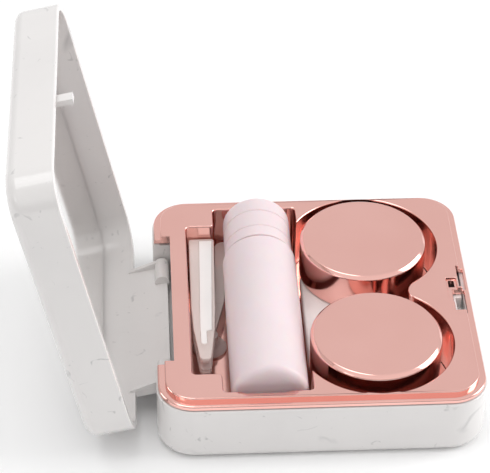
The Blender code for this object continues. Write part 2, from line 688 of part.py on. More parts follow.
def add_hinge_flap(lid):
    """The wall that hangs below the rim, with a knuckle and a gusset at each end."""
    half = NOTCH_HALF_LENGTH - FLAP_END_GAP
    outside = -HALF_X + SINK
    inside = outside + FLAP_THICKNESS
    foot = HINGE.z - FLAP_TAIL
    root_z = LID_RIM + LID_WALL
    flap = [
        (outside + FLAP_CHAMFER, foot), (inside, foot), (inside, root_z),
        (outside, root_z), (outside, foot + FLAP_CHAMFER),
    ]
    join(lid, "hinge_flap", prism_along_y(flap, -half, half))
    middle = outside + FLAP_THICKNESS / 3
    gusset = [
        (middle, HINGE.z), (HINGE.x + 0.9 * KNUCKLE_RADIUS, HINGE.z + 0.2 * KNUCKLE_RADIUS),
        (inside + 2 * SINK, HINGE.z + GUSSET_HEIGHT), (middle, HINGE.z + GUSSET_HEIGHT),
    ]
    for name, side in (("far", 1), ("near", -1)):
        root, end = side * (half - KNUCKLE_LENGTH), side * half
        join(lid, f"knuckle_{name}", rod(
            (HINGE.x, root, HINGE.z), (HINGE.x, end, HINGE.z), KNUCKLE_RADIUS, 24
        ))
        low, high = sorted((side * (half - GUSSET_THICKNESS), side * (half - SINK)))
        join(lid, f"gusset_{name}", prism_along_y(gusset, low, high))
        cut(lid, f"knuckle_bore_{name}", rod(
            (HINGE.x, root + side * GAP, HINGE.z), (HINGE.x, end + side * THROUGH, HINGE.z),
            PIN_RADIUS + PIN_CLEARANCE, 24,
        ))


def add_catch(lid):
    """The tongue on the free edge, with the barb that goes under the button's bar."""
    near, far = CATCH_Y - CATCH_LENGTH / 2, CATCH_Y + CATCH_LENGTH / 2
    foot = LID_RIM + CATCH_FOOT
    root = foot + CATCH_ROOT_HEIGHT
    in_wall = HALF_X - LID_WALL / 2
    barb_x = CATCH_LEFT_X - CATCH_BARB
    barb_top = CATCH_BOTTOM + CATCH_BARB
    outline = [
        (CATCH_LEFT_X, CATCH_BOTTOM), (CATCH_RIGHT_X, CATCH_BOTTOM), (CATCH_RIGHT_X, foot),
        (in_wall, foot), (in_wall, root), (CATCH_LEFT_X, root), (CATCH_LEFT_X, barb_top),
        (barb_x, barb_top), (barb_x, barb_top - BARB_LAND),
    ]
    join(lid, "catch", prism_along_y(outline, near, far))


def make_latch():
    """The push button with its hook bar, and the coil spring behind it."""
    half = BUTTON_LENGTH / 2
    flange_half = half + BUTTON_LIP
    flange_low = BUTTON_BOTTOM - BUTTON_LIP
    flange_high = BUTTON_BOTTOM + BUTTON_HEIGHT + BUTTON_LIP
    flange_x = WALL_FACE_X - GAP
    face = block(
        (BUTTON_BACK_X + 2 * SINK, -half, BUTTON_BOTTOM),
        (HALF_X - BUTTON_FACE_SINK, half, BUTTON_BOTTOM + BUTTON_HEIGHT), bevel=BUTTON_EDGE,
    )
    button = piece("latch_button", face, WHITE)
    join(button, "button_flange", block(
        (BUTTON_BACK_X, -flange_half, flange_low), (flange_x, flange_half, flange_high)
    ))
    catch_half = CATCH_LENGTH / 2 + RISER_END_ROOM
    riser_near = (-flange_half + SINK, CATCH_Y - catch_half)
    riser_far = (CATCH_Y + catch_half, half - 2 * SINK)
    for name, (low, high) in (("near", riser_near), ("far", riser_far)):
        join(button, f"riser_{name}", block(
            (BUTTON_BACK_X + SINK, low, flange_high - THROUGH), (flange_x - SINK, high, HOOK_BAR_TOP)
        ))
    arm_far = riser_far[0] + HOOK_ARM_WIDTH
    bar_low = HOOK_BAR_TOP - HOOK_BAR_THICKNESS
    join(button, "hook_bar", block(
        (HOOK_RIGHT_X - HOOK_BAR_WIDTH, riser_near[0] + 2 * SINK, bar_low),
        (HOOK_RIGHT_X, arm_far + 2 * SINK, HOOK_BAR_TOP - SINK),
    ))
    for name, low, high in (("near", riser_near[0] + 3 * SINK, riser_near[1] - SINK),
                            ("far", riser_far[0] + SINK, arm_far)):
        join(button, f"hook_arm_{name}", block(
            (HOOK_RIGHT_X - HOOK_BAR_WIDTH / 3, low, bar_low - SINK),
            (BUTTON_BACK_X + BUTTON_FLANGE_THICKNESS / 2, high, HOOK_BAR_TOP - SINK / 2),
        ))
    cut(button, "spring_pocket", rod(
        (BUTTON_BACK_X - THROUGH, 0, SPRING_Z), (BUTTON_BACK_X + SPRING_POCKET_DEPTH, 0, SPRING_Z),
        SPRING_RADIUS + SPRING_WIRE_RADIUS + GAP,
    ))
    start = SPRING_STOP_X + SPRING_WIRE_RADIUS + SINK
    length = BUTTON_BACK_X + SPRING_POCKET_DEPTH - SPRING_WIRE_RADIUS - SINK - start
    coil = wire(helix(SPRING_RADIUS, 0, length / SPRING_TURNS, SPRING_TURNS, 12), SPRING_WIRE_RADIUS, 0)
    piece("latch_spring", coil, STEEL, (start, 0, SPRING_Z), (0, math.pi / 2, 0))


def make_lens_case():
    """The white body: two threaded wells joined by a web."""
    web = rounded_rectangle(
        (LENS_CASE_X - CAP_RADIUS, -CAP_Y), (LENS_CASE_X + WEB_RIGHT, CAP_Y), WEB_CORNER
    )
    plate = prism(web, WEB_TOP - WEB_THICKNESS, WEB_TOP, WEB_EDGE, WEB_EDGE, 2)
    body = piece("lens_case_body", plate, WHITE)
    bore = NECK_RADIUS - NECK_WALL
    bowl_floor = CONTENT_REST + WELL_FLOOR
    foot = NECK_RADIUS + WELL_FOOT
    lip = 0.3 * MM
    base_edge = 0.8 * MM
    bowl = [
        (bore * math.sin(angle), bowl_floor + WELL_BOWL_DEPTH * (1 - math.cos(angle)))
        for angle in [math.radians(18 * step) for step in range(6)]
    ]
    profile = [
        *bowl, (bore, NECK_TOP - lip), (bore + lip, NECK_TOP),
        (NECK_RADIUS - lip, NECK_TOP), (NECK_RADIUS, NECK_TOP - lip),
        (NECK_RADIUS, WEB_TOP + SINK), (foot, WEB_TOP + SINK),
        (foot, CONTENT_REST + base_edge), (foot - base_edge, CONTENT_REST), (0, CONTENT_REST),
    ]
    for name, side in (("right", 1), ("left", -1)):
        shift = Matrix.Translation((LENS_CASE_X, side * CAP_Y, 0))
        well = turned(profile, 32)
        well.transform(shift)
        join(body, f"well_{name}", well)
        start = WEB_TOP + THREAD_START
        thread = wire(helix(NECK_RADIUS, start, CAP_PITCH, CAP_THREAD_TURNS, 20), CAP_THREAD_HEIGHT, 0)
        thread.transform(shift)
        join(body, f"thread_{name}", thread)
        make_lens_cap(name, side)


def make_lens_cap(name, side):
    """A plated screw cap with its white threaded liner and its soft seal."""
    centre = (LENS_CASE_X, side * CAP_Y, 0)
    top = CAP_BOTTOM + CAP_HEIGHT
    corner = arc((CAP_RADIUS - CAP_EDGE, top - CAP_EDGE), CAP_EDGE, 90, 0, 4)
    low_edge = 0.2 * MM
    liner_foot = CAP_BOTTOM + low_edge
    shell = [
        (0, CAP_CEILING), (CAP_BORE, CAP_CEILING), (CAP_BORE, CAP_BOTTOM),
        (CAP_RADIUS - low_edge, CAP_BOTTOM), (CAP_RADIUS, CAP_BOTTOM + low_edge), *corner[::-1], (0, top),
    ]
    piece(f"lens_cap_{name}", turned(shell[::-1], 56), ROSE_GOLD, centre)
    liner_top = CAP_CEILING - GAP
    liner = [
        (0, LINER_UNDERSIDE), (LINER_BORE, LINER_UNDERSIDE), (LINER_BORE, liner_foot),
        (LINER_RADIUS, liner_foot), (LINER_RADIUS, liner_top), (0, liner_top),
    ]
    piece(f"cap_liner_{name}", turned(liner[::-1]), WHITE, centre)
    rim = LINER_BORE - GAP
    seal = [(0, SEAL_TOP), (rim, SEAL_TOP), (rim, SEAL_TOP - SEAL_THICKNESS), (0, SEAL_TOP - SEAL_THICKNESS)]
    piece(f"cap_seal_{name}", turned(seal), RUBBER, centre)


def make_bottle():
    """Bottle, dropper plug, screw cap and cap liner, turned about the bottle's axis."""
    along_y = (-math.pi / 2, 0, 0)
    origin = (BOTTLE_X, BOTTLE_NEAR_END, BOTTLE_Z)
    length = BOTTLE_BODY_LENGTH
    bore = BOTTLE_RADIUS - BOTTLE_WALL
    neck_bore = BOTTLE_NECK_RADIUS - BOTTLE_NECK_WALL
    neck_end = length + BOTTLE_NECK_LENGTH
    edge = BOTTLE_EDGE
    inner_edge = BOTTLE_EDGE / 2
    bottom_corner = arc((BOTTLE_RADIUS - edge, edge), edge, 0, -90, 3)
    profile = [
        (0, BOTTLE_WALL), (bore - inner_edge, BOTTLE_WALL), (bore, BOTTLE_WALL + inner_edge),
        (bore, length - 2 * BOTTLE_WALL), (neck_bore, length - BOTTLE_WALL), (neck_bore, neck_end),
        (BOTTLE_NECK_RADIUS, neck_end), (BOTTLE_NECK_RADIUS, length),
        (BOTTLE_RADIUS - edge, length), (BOTTLE_RADIUS, length - edge), *bottom_corner, (0, 0),
    ]
    body = piece("bottle_body", turned(profile, 36), FROSTED, origin, along_y)
    turns = 2
    thread_start = length + (BOTTLE_NECK_LENGTH - turns * BOTTLE_PITCH) / 2
    thread = helix(BOTTLE_NECK_RADIUS, thread_start, BOTTLE_PITCH, turns, 16)
    join(body, "bottle_thread", wire(thread, BOTTLE_THREAD_HEIGHT, 0))
    plug_radius = neck_bore - GAP
    plug_foot = length + BOTTLE_WALL
    seat = neck_end + GAP
    nozzle_end = seat + NOZZLE_LENGTH
    plug = [
        (DROPPER_BORE, plug_foot), (DROPPER_BORE, nozzle_end), (NOZZLE_RADIUS, nozzle_end),
        (1.5 * NOZZLE_RADIUS, seat + PLUG_FLANGE), (BOTTLE_NECK_RADIUS, seat + PLUG_FLANGE),
        (BOTTLE_NECK_RADIUS, seat), (plug_radius, seat), (plug_radius, plug_foot), (DROPPER_BORE, plug_foot),
    ]
    piece("bottle_plug", turned(plug, 28), WHITE, origin, along_y)
    start = BOTTLE_CAP_START - BOTTLE_NEAR_END
    end = start + BOTTLE_CAP_LENGTH
    cap_bore = BOTTLE_NECK_RADIUS + BOTTLE_THREAD_HEIGHT + GAP
    ceiling = end - BOTTLE_CAP_TOP
    groove = GROOVE_DEPTH
    grooves = []
    for height in [end - place for place in BOTTLE_CAP_GROOVES]:
        grooves += [
            (BOTTLE_CAP_RADIUS, height + groove), (BOTTLE_CAP_RADIUS - groove, height + groove / 2),
            (BOTTLE_CAP_RADIUS - groove, height - groove / 2), (BOTTLE_CAP_RADIUS, height - groove),
        ]
    top_corner = arc((BOTTLE_CAP_RADIUS - edge, end - edge), edge, 90, 0, 3)
    cap = [
        (0, end), *top_corner, *grooves, (BOTTLE_CAP_RADIUS, start), (cap_bore, start),
        (cap_bore, ceiling), (0, ceiling),
    ]
    piece("bottle_cap", turned(cap, 36), FROSTED, origin, along_y)
    liner_end = ceiling - GAP
    liner_start = nozzle_end + GAP
    liner = [(0, liner_end), (cap_bore - GAP, liner_end), (cap_bore - GAP, liner_start), (0, liner_start)]
    piece("bottle_cap_liner", turned(liner, 28), RUBBER, origin, along_y)


def arm_outline():
    """Outline of a tweezers arm, relative to its pivot at the head's edge."""
    left = []
    right = []
    for along, low, high in TWEEZERS_OUTLINE:
        y = HEAD_LENGTH - along * TWEEZERS_LENGTH
        left.append((low * TWEEZERS_WIDTH, y))
        right.append((high * TWEEZERS_WIDTH, y))
    return left + right[::-1]


def core_outline(clearance=0.0):
    """Outline of the stiff white core in an arm, with its narrow tail."""
    far = HEAD_LENGTH - CORE_START + clearance
    near = HEAD_LENGTH - CORE_START - CORE_LENGTH - clearance
    tail_low, tail_high = CORE_TAIL_SIDES[0] - clearance, CORE_TAIL_SIDES[1] + clearance
    radius = (tail_high - tail_low) / 2
    centre = ((tail_low + tail_high) / 2, near - CORE_TAIL_LENGTH + radius)
    return [
        (CORE_FAR_SIDES[1] + clearance, far), (CORE_FAR_SIDES[0] - clearance, far),
        (CORE_NEAR_SIDES[0] - clearance, near), (tail_low, near - CORE_TAIL_DROP),
        *arc(centre, radius, 180, 360, 6), (tail_high, near - CORE_TAIL_DROP),
        (CORE_NEAR_SIDES[1] + clearance, near),
    ]


def make_tweezers():
    """A head block with two springy arms, each with a core and a soft pad."""
    pivot_y = TWEEZERS_FAR_END - HEAD_LENGTH
    upper = TWEEZERS_BOTTOM + ARM_THICKNESS + ARM_GAP
    half = TWEEZERS_WIDTH / 2 - HEAD_INSET
    head = block(
        (-half, HEAD_INSET / 2, TWEEZERS_BOTTOM + ARM_THICKNESS + GAP),
        (half, HEAD_LENGTH - HEAD_INSET / 2, upper - GAP), bevel=HEAD_EDGE,
    )
    piece("tweezers_head", head, WHITE, (TWEEZERS_X, pivot_y, 0))
    thick = ARM_THICKNESS / 2
    for name, centre_z, side in (("upper", upper + thick, 1), ("lower", TWEEZERS_BOTTOM + thick, -1)):
        axis = empty(f"tweezers_{name}_axis", (TWEEZERS_X, pivot_y, centre_z))
        arm = piece(f"tweezers_arm_{name}", prism(arm_outline(), -thick, thick), CLEAR, parent=axis)
        recess = sorted((side * (thick - CORE_DEPTH), side * (thick + THROUGH)))
        cut(arm, f"core_recess_{name}", prism(core_outline(CORE_CLEARANCE), *recess))
        core = sorted((side * (thick - CORE_DEPTH + CORE_CLEARANCE), side * (thick + CORE_PROUD)))
        piece(f"tweezers_core_{name}", prism(core_outline(), *core), WHITE, parent=axis)
        tip = HEAD_LENGTH - TWEEZERS_LENGTH
        tip_low, tip_high = [0.9 * side_share * TWEEZERS_WIDTH for side_share in TWEEZERS_OUTLINE[-2][1:]]
        pad_back = thick + PAD_CLEARANCE
        pad = sorted((-side * pad_back, -side * (pad_back + PAD_THICKNESS)))
        outline = rounded_rectangle((tip_low, tip + GAP), (tip_high, tip + PAD_LENGTH), PAD_CORNER, 3)
        piece(f"tweezers_pad_{name}", prism(outline, *pad), RUBBER, parent=axis)


def make_remover():
    """The flat wand and its suction cup, under the tweezers and the bottle's flank."""
    top = WAND_BOTTOM + WAND_THICKNESS
    handle = prism(
        tapered_outline(WAND_HEAD, WAND_HEAD_RADIUS, WAND_WAIST, WAND_WAIST_RADIUS), WAND_BOTTOM, top,
        WAND_EDGE, WAND_EDGE, 2,
    )
    wand = piece("remover_wand", handle, CLEAR)
    neck = tapered_outline(WAND_WAIST, WAND_WAIST_RADIUS - SINK / 4, CUP_CENTRE, WAND_NECK_RADIUS)
    join(wand, "wand_neck", prism(neck, WAND_BOTTOM + SINK / 2, top - SINK / 2))
    join(wand, "wand_boss", rod(
        (*CUP_CENTRE, WAND_BOTTOM + SINK / 4), (*CUP_CENTRE, top - SINK / 4), WAND_BOSS_RADIUS
    ))
    hub = WAND_BOTTOM - GAP
    cup = [
        (0, hub), (WAND_BOSS_RADIUS - SINK, hub), (WAND_BOSS_RADIUS + SINK, hub - CUP_RIM),
        (CUP_RADIUS, CONTENT_REST + 0.8 * CUP_RIM), (CUP_RADIUS, CONTENT_REST),
        (CUP_RADIUS - CUP_RIM, CONTENT_REST), (0.6 * CUP_RADIUS, CONTENT_REST + 0.7 * CUP_HOLLOW),
        (0, CONTENT_REST + CUP_HOLLOW),
    ]
    piece("remover_cup", turned(cup, 32), RUBBER, (*CUP_CENTRE, 0))


make_base_shell()
make_tray()
make_hinge_pins()
make_lid()
make_latch()
make_lens_case()
make_bottle()
make_tweezers()
make_remover()
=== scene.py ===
"""Looks of the contact lens travel case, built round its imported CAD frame.

Lengths are metres. Places come from the frame's boxes; the sizes named below are the fine
shape that the frame leaves open: fillets, threads, ribs and the films of each material.
The lid's pieces are shaped shut and are then swung open about the frame's own hinge.
"""

import json
import math

import bmesh
import bpy
from mathutils import Matrix, Vector


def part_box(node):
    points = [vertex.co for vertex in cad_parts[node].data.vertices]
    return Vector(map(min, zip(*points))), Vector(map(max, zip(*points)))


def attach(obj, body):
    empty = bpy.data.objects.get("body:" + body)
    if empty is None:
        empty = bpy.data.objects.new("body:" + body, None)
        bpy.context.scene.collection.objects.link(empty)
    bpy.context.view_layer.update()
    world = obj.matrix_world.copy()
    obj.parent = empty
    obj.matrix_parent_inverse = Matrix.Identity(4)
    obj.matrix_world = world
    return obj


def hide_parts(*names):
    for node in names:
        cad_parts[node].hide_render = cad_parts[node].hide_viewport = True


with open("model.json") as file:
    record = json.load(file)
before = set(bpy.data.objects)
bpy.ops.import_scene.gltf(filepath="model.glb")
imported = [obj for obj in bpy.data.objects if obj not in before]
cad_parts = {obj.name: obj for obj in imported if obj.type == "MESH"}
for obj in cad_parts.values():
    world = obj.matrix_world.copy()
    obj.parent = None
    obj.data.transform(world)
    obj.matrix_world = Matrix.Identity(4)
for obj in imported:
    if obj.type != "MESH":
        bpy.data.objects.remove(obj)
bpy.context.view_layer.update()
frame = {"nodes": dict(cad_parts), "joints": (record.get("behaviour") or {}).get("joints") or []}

MM = 0.001
GAP = 0.3 * MM
SINK = 0.1 * MM
THROUGH = 1 * MM
TOUCH = 0.01 * MM
WELD = 0.001 * MM
SMOOTH_ANGLE = math.radians(38)

# Casing
CORNER_RADIUS = 7.8 * MM
OUTER_EDGE = 2.4 * MM
SHELL_WALL = 1.6 * MM
SHELL_FLOOR = 1.5 * MM
RIM_EDGE = 0.3 * MM
WINDOW_EDGE = 0.25 * MM
NOTCH_EDGE = 0.35 * MM
LID_WALL = 1.5 * MM
LID_SKIN = 1.3 * MM
LID_INNER_EDGE = 1.0 * MM
MIRROR_MARGIN = 1.5 * MM
MIRROR_EDGE = 0.25 * MM
TAPE_INSET = 2 * MM

# Tray
TRAY_WALL = 0.8 * MM
TRAY_FLOOR_THICKNESS = 1.2 * MM
FLANGE_WIDTH = 1.5 * MM
FLANGE_THICKNESS = 0.9 * MM
FLANGE_EDGE = 0.42 * MM
PLATFORM_STEP = 1.0 * MM
PLATFORM_EDGE = 0.28 * MM
SLOT_SIDE_ROOM = 0.5 * MM
SLOT_FINGER_ROOM = 8.1 * MM
RECESS_LEFT = -20.45 * MM
RECESS_SIDE_ROOM = 0.8 * MM
RECESS_NEAR_ROOM = 1.0 * MM
RECESS_FAR_ROOM = 1.5 * MM
POCKET_LIP = 0.42 * MM
POCKET_FILLET = 3.4 * MM
POCKET_CORNER = 0.9 * MM
SMALLEST_CORNER = 0.05 * MM
POCKET_CLEARANCE = 2.55 * MM
TUB_FLOOR_FILLET = 0.5 * MM
SCOOP_HALF_WIDTH = 5.8 * MM
SCOOP_DEPTH = 1.3 * MM
SCOOP_SHIFT = 1.0 * MM
CRADLE_WIDTH = 2.0 * MM
CRADLE_RISE = 1.7 * MM
CRADLE_SIDE_INSET = 0.6 * MM
CRADLE_PLACES = (0.28, 0.88)
TRAY_NOTCH_SHORTFALL = 0.2 * MM
OPENING_EDGE = 0.16 * MM
EDGE_BAND_X = 2.6 * MM
EDGE_BAND_Y = 2.2 * MM
LATCH_BAND = 5.2 * MM
LATCH_HALF = 8 * MM

# Bottle's neck, where the cradles end
BOTTLE_NECK_LENGTH = 6.7 * MM

# Hinge
NOTCH_HALF_LENGTH = 20.5 * MM
NOTCH_DEPTH = 4.0 * MM
NOTCH_SILL = 5.45 * MM
FLAP_END_GAP = 0.6 * MM
FLAP_THICKNESS = 1.5 * MM
FLAP_TAIL = 1.1 * MM
FLAP_CHAMFER = 0.8 * MM
KNUCKLE_RADIUS = 1.6 * MM
KNUCKLE_LENGTH = 6.5 * MM
GUSSET_THICKNESS = 1.0 * MM
GUSSET_HEIGHT = 7.6 * MM
PIN_BORE = 0.9 * MM
PIN_BEARING = 3.8 * MM
HINGE_BLOCK_WALL = 1.4 * MM

# Latch
CATCH_Y = -3.2 * MM
CATCH_LENGTH = 2.4 * MM
CATCH_THICKNESS = 1.2 * MM
CATCH_BARB = 0.6 * MM
CATCH_BOTTOM = 11.6 * MM
CATCH_FOOT = 1.0 * MM
CATCH_ROOT_HEIGHT = 2.0 * MM
BARB_LAND = 0.25 * MM
CATCH_END_ROOM = 2.4 * MM
CATCH_SWING_ROOM = 0.45 * MM
CATCH_EDGE = 0.15 * MM
BUTTON_LIP = 0.7 * MM
BUTTON_TOP = 9.7 * MM
SPRING_STOP_FACE = 28.7 * MM
SPRING_STOP_THICKNESS = 1.2 * MM
SPRING_STOP_HALF = 4 * MM
SPRING_STOP_TOP = 9.1 * MM
LATCH_RECESS_DEPTH = 0.6 * MM

# Openings in the tray: left and right edge from the case's right side, near and far edge in Y
LATCH_RECESS = (5.1 * MM, 2.95 * MM, -4.0 * MM, 3.8 * MM)
LATCH_HOLE = (4.6 * MM, 3.4 * MM, 1.3 * MM, 3.5 * MM)
RIM_WINDOW = (2.5 * MM, 1.0 * MM, 0.9 * MM, 7.7 * MM)


# Places from the frame

def size_of(node):
    """Lowest corner, highest corner and centre of a CAD node."""
    low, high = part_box(node)
    return low, high, (low + high) / 2


HINGE_JOINT = next(joint for joint in frame["joints"] if joint["name"] == "lid_hinge")
HINGE = Vector(HINGE_JOINT["pos_m"])
OPEN_ANGLE = -math.radians(HINGE_JOINT["range_deg"][0])
SWING_TURN = Matrix.Rotation(-OPEN_ANGLE, 4, "Y")
SWING = Matrix.Translation(HINGE) @ SWING_TURN @ Matrix.Translation(-HINGE)


def shut_box(node):
    """Box of one of the lid's nodes with the lid shut."""
    back = SWING.inverted()
    points = [back @ v.co for v in frame["nodes"][node].data.vertices]
    low = Vector([min(p[i] for p in points) for i in range(3)])
    high = Vector([max(p[i] for p in points) for i in range(3)])
    return low, high


BASE_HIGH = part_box("base_shell")[1]
TRAY_LOW, TRAY_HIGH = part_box("tray_insert")
HALF_X, HALF_Y = BASE_HIGH.x, BASE_HIGH.y
SHELL_TOP = BASE_HIGH.z
PLATFORM_TOP = TRAY_HIGH.z
FLANGE_TOP = PLATFORM_TOP - PLATFORM_STEP
FLANGE_BOTTOM = FLANGE_TOP - FLANGE_THICKNESS
TRAY_BOTTOM = TRAY_LOW.z
TRAY_FLOOR = TRAY_BOTTOM + TRAY_FLOOR_THICKNESS
CAP_LOW, CAP_HIGH, CAP_MIDDLE = size_of("lens_cap_right")
CAP_RADIUS = (CAP_HIGH.x - CAP_LOW.x) / 2
CAP_X, CAP_Y = CAP_MIDDLE.x, CAP_MIDDLE.y
POCKET_RADIUS = CAP_RADIUS + POCKET_CLEARANCE
BOTTLE_LOW, BOTTLE_HIGH, BOTTLE_MIDDLE = size_of("bottle_body")
BOTTLE_RADIUS = (BOTTLE_HIGH.x - BOTTLE_LOW.x) / 2
BOTTLE_X, BOTTLE_Z = BOTTLE_MIDDLE.x, BOTTLE_MIDDLE.z
BOTTLE_CAP_LOW, BOTTLE_CAP_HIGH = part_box("bottle_cap")
ARM_LOW, ARM_HIGH, ARM_MIDDLE = size_of("tweezers_arm_upper")
WAND_LOW, WAND_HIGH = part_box("remover_wand")
CUP_LOW, CUP_HIGH, CUP_MIDDLE = size_of("remover_cup")
LID_HIGH = shut_box("lid_shell")[1]
LID_RIM = FLANGE_TOP + GAP
LID_CEILING = LID_HIGH.z - LID_SKIN
SLOT_LEFT = ARM_LOW.x - SLOT_SIDE_ROOM
SLOT_FAR = ARM_HIGH.y + GAP
SLOT_NEAR = ARM_LOW.y - SLOT_FINGER_ROOM
RECESS_RIGHT = BOTTLE_HIGH.x + RECESS_SIDE_ROOM
RECESS_NEAR = BOTTLE_LOW.y - RECESS_NEAR_ROOM
RECESS_FAR = BOTTLE_CAP_HIGH.y + RECESS_FAR_ROOM


# Mesh helpers

def arc(centre, radius, start, end, count):
    """Points on an arc, both ends included; angles in degrees."""
    points = []
    for step in range(count + 1):
        angle = math.radians(start + (end - start) * step / count)
        points.append((centre[0] + radius * math.cos(angle), centre[1] + radius * math.sin(angle)))
    return points


def rounded_rectangle(low, high, radius, count=18):
    """Outline of a rectangle with round corners, anticlockwise."""
    points = []
    corners = (
        (high[0], low[1], -1, 1, -90), (high[0], high[1], -1, -1, 0),
        (low[0], high[1], 1, -1, 90), (low[0], low[1], 1, 1, 180),
    )
    for x, y, sign_x, sign_y, start in corners:
        centre = (x + sign_x * radius, y + sign_y * radius)
        points += arc(centre, radius, start, start + 90, count)
    return points


def centred_rectangle(half_x, half_y, radius):
    """A rounded rectangle about the case's centre."""
    return rounded_rectangle((-half_x, -half_y), (half_x, half_y), radius)


def tapered_outline(first, first_radius, second, second_radius):
    """Outline round two discs and their common tangents, anticlockwise."""
    direction = Vector(second) - Vector(first)
    heading = math.degrees(math.atan2(direction.y, direction.x))
    spread = math.degrees(math.acos((first_radius - second_radius) / direction.length))
    around_first = arc(first, first_radius, heading + spread, heading + 360 - spread, 20)
    around_second = arc(second, second_radius, heading - spread, heading + spread, 20)
    return around_first + around_second


def edit(mesh, work):
    """Run a function on a mesh's bmesh and write it back."""
    shape = bmesh.new()
    shape.from_mesh(mesh)
    work(shape)
    shape.to_mesh(mesh)
    shape.free()
    return mesh


def clean(mesh, merge_flat=True):
    """Weld a mesh, merge its flat faces on request and turn every face outwards."""
    def work(shape):
        bmesh.ops.remove_doubles(shape, verts=shape.verts, dist=WELD)
        if merge_flat:
            bmesh.ops.dissolve_limit(
                shape, angle_limit=0.001, verts=shape.verts, edges=shape.edges
            )
        bmesh.ops.recalc_face_normals(shape, faces=shape.faces)
    return edit(mesh, work)


def soften(mesh, radius, segments, where, sharper, clamp=True):
    """Round the edges sharper than an angle, where a test on both ends holds."""
    def work(shape):
        limit = math.radians(sharper)
        found = [
            edge for edge in shape.edges
            if len(edge.link_faces) == 2 and edge.calc_face_angle(0) > limit
            and all(where(v.co) for v in edge.verts)
        ]
        bmesh.ops.bevel(
            shape, geom=found, offset=radius, segments=segments, profile=0.5, affect="EDGES",
            clamp_overlap=clamp,
        )
    return edit(mesh, work)


def evaluated(holder):
    """The mesh of an object with its modifiers; the object is removed."""
    view = bpy.context.evaluated_depsgraph_get()
    mesh = bpy.data.meshes.new_from_object(holder.evaluated_get(view))
    bpy.data.objects.remove(holder, do_unlink=True)
    return mesh


def holder_of(data):
    """A helper object for some mesh or curve."""
    holder = bpy.data.objects.new("helper", data)
    bpy.context.scene.collection.objects.link(holder)
    return holder


def prism(outline, low, high, round_top=0.0, round_bottom=0.0, segments=6):
    """An outline in XY extruded from height low to height high."""
    curve = bpy.data.curves.new("outline", "CURVE")
    curve.dimensions = "2D"
    curve.fill_mode = "BOTH"
    curve.extrude = (high - low) / 2
    spline = curve.splines.new("POLY")
    spline.points.add(len(outline) - 1)
    for point, (x, y) in zip(spline.points, outline):
        point.co = (x, y, 0, 1)
    spline.use_cyclic_u = True
    mesh = evaluated(holder_of(curve))
    mesh.transform(Matrix.Translation((0, 0, (low + high) / 2)))
    clean(mesh)
    for height, radius in ((high, round_top), (low, round_bottom)):
        if radius:
            soften(mesh, radius, segments, lambda co, z=height: abs(co.z - z) < WELD, 60)
    return mesh


def prism_along_y(outline, low, high):
    """An outline in XZ extruded from y = low to y = high."""
    mesh = prism(outline, -high, -low)
    mesh.transform(Matrix.Rotation(math.pi / 2, 4, "X"))
    return mesh


def block(low, high, bevel=0.0):
    """A box between two corners, its edges rounded on request."""
    mesh = bpy.data.meshes.new("block")

    def work(shape):
        bmesh.ops.create_cube(shape, size=1)
        bmesh.ops.scale(shape, vec=Vector(high) - Vector(low), verts=shape.verts)
        bmesh.ops.translate(shape, vec=(Vector(high) + Vector(low)) / 2, verts=shape.verts)
        if bevel:
            bmesh.ops.bevel(
                shape, geom=shape.edges, offset=bevel, segments=4, profile=0.5, affect="EDGES"
            )
    return edit(mesh, work)


def rod(start, end, radius, segments=48):
    """A round bar between two points."""
    axis = Vector(end) - Vector(start)
    turn = Vector((0, 0, 1)).rotation_difference(axis).to_matrix().to_4x4()
    place = Matrix.Translation((Vector(start) + Vector(end)) / 2) @ turn

    def work(shape):
        bmesh.ops.create_cone(
            shape, cap_ends=True, segments=segments, radius1=radius, radius2=radius, depth=axis.length
        )
        bmesh.ops.transform(shape, matrix=place, verts=shape.verts)
    return edit(bpy.data.meshes.new("rod"), work)


def turned(profile, steps):
    """A profile of (radius, height) points turned about Z, inside to outside from the top."""
    mesh = bpy.data.meshes.new("profile")
    edges = [(index, index + 1) for index in range(len(profile) - 1)]
    mesh.from_pydata([(radius, 0, height) for radius, height in profile], edges, [])
    holder = holder_of(mesh)
    screw = holder.modifiers.new("turn", "SCREW")
    screw.steps = steps
    screw.render_steps = steps
    screw.use_merge_vertices = True
    screw.merge_threshold = WELD
    return clean(evaluated(holder), merge_flat=False)


def disc(radius, low, high, edge, foot=None):
    """Profile of a disc with bevelled edges; foot replaces its flat underside."""
    return [
        (0, high), (radius - edge, high), (radius, high - edge),
        (radius, low + edge), (radius - edge, low), *(foot or [(0, low)]),
    ]


def wire(points, radius):
    """A round wire through points, with closed ends."""
    curve = bpy.data.curves.new("wire", "CURVE")
    curve.dimensions = "3D"
    curve.bevel_depth = radius
    curve.bevel_resolution = 3
    curve.use_fill_caps = True
    spline = curve.splines.new("POLY")
    spline.points.add(len(points) - 1)
    for point, place in zip(spline.points, points):
        point.co = (*place, 1)
    return clean(evaluated(holder_of(curve)))


def helix(radius, start, pitch, turns, points_per_turn):
    """Points of a helix about Z that starts at height start."""
    points = []
    for step in range(round(turns * points_per_turn) + 1):
        turn = step / points_per_turn
        angle = 2 * math.pi * turn
        points.append((radius * math.cos(angle), radius * math.sin(angle), start + pitch * turn))
    return points


def combined(mesh, *steps):
    """A mesh after Boolean steps: ("+" or "-", mesh) each."""
    for sign, tool in steps:
        holder = holder_of(mesh)
        other = holder_of(tool)
        change = holder.modifiers.new("step", "BOOLEAN")
        change.operation = "UNION" if sign == "+" else "DIFFERENCE"
        change.solver = "EXACT"
        change.object = other
        mesh = evaluated(holder)
        bpy.data.objects.remove(other, do_unlink=True)
    return mesh


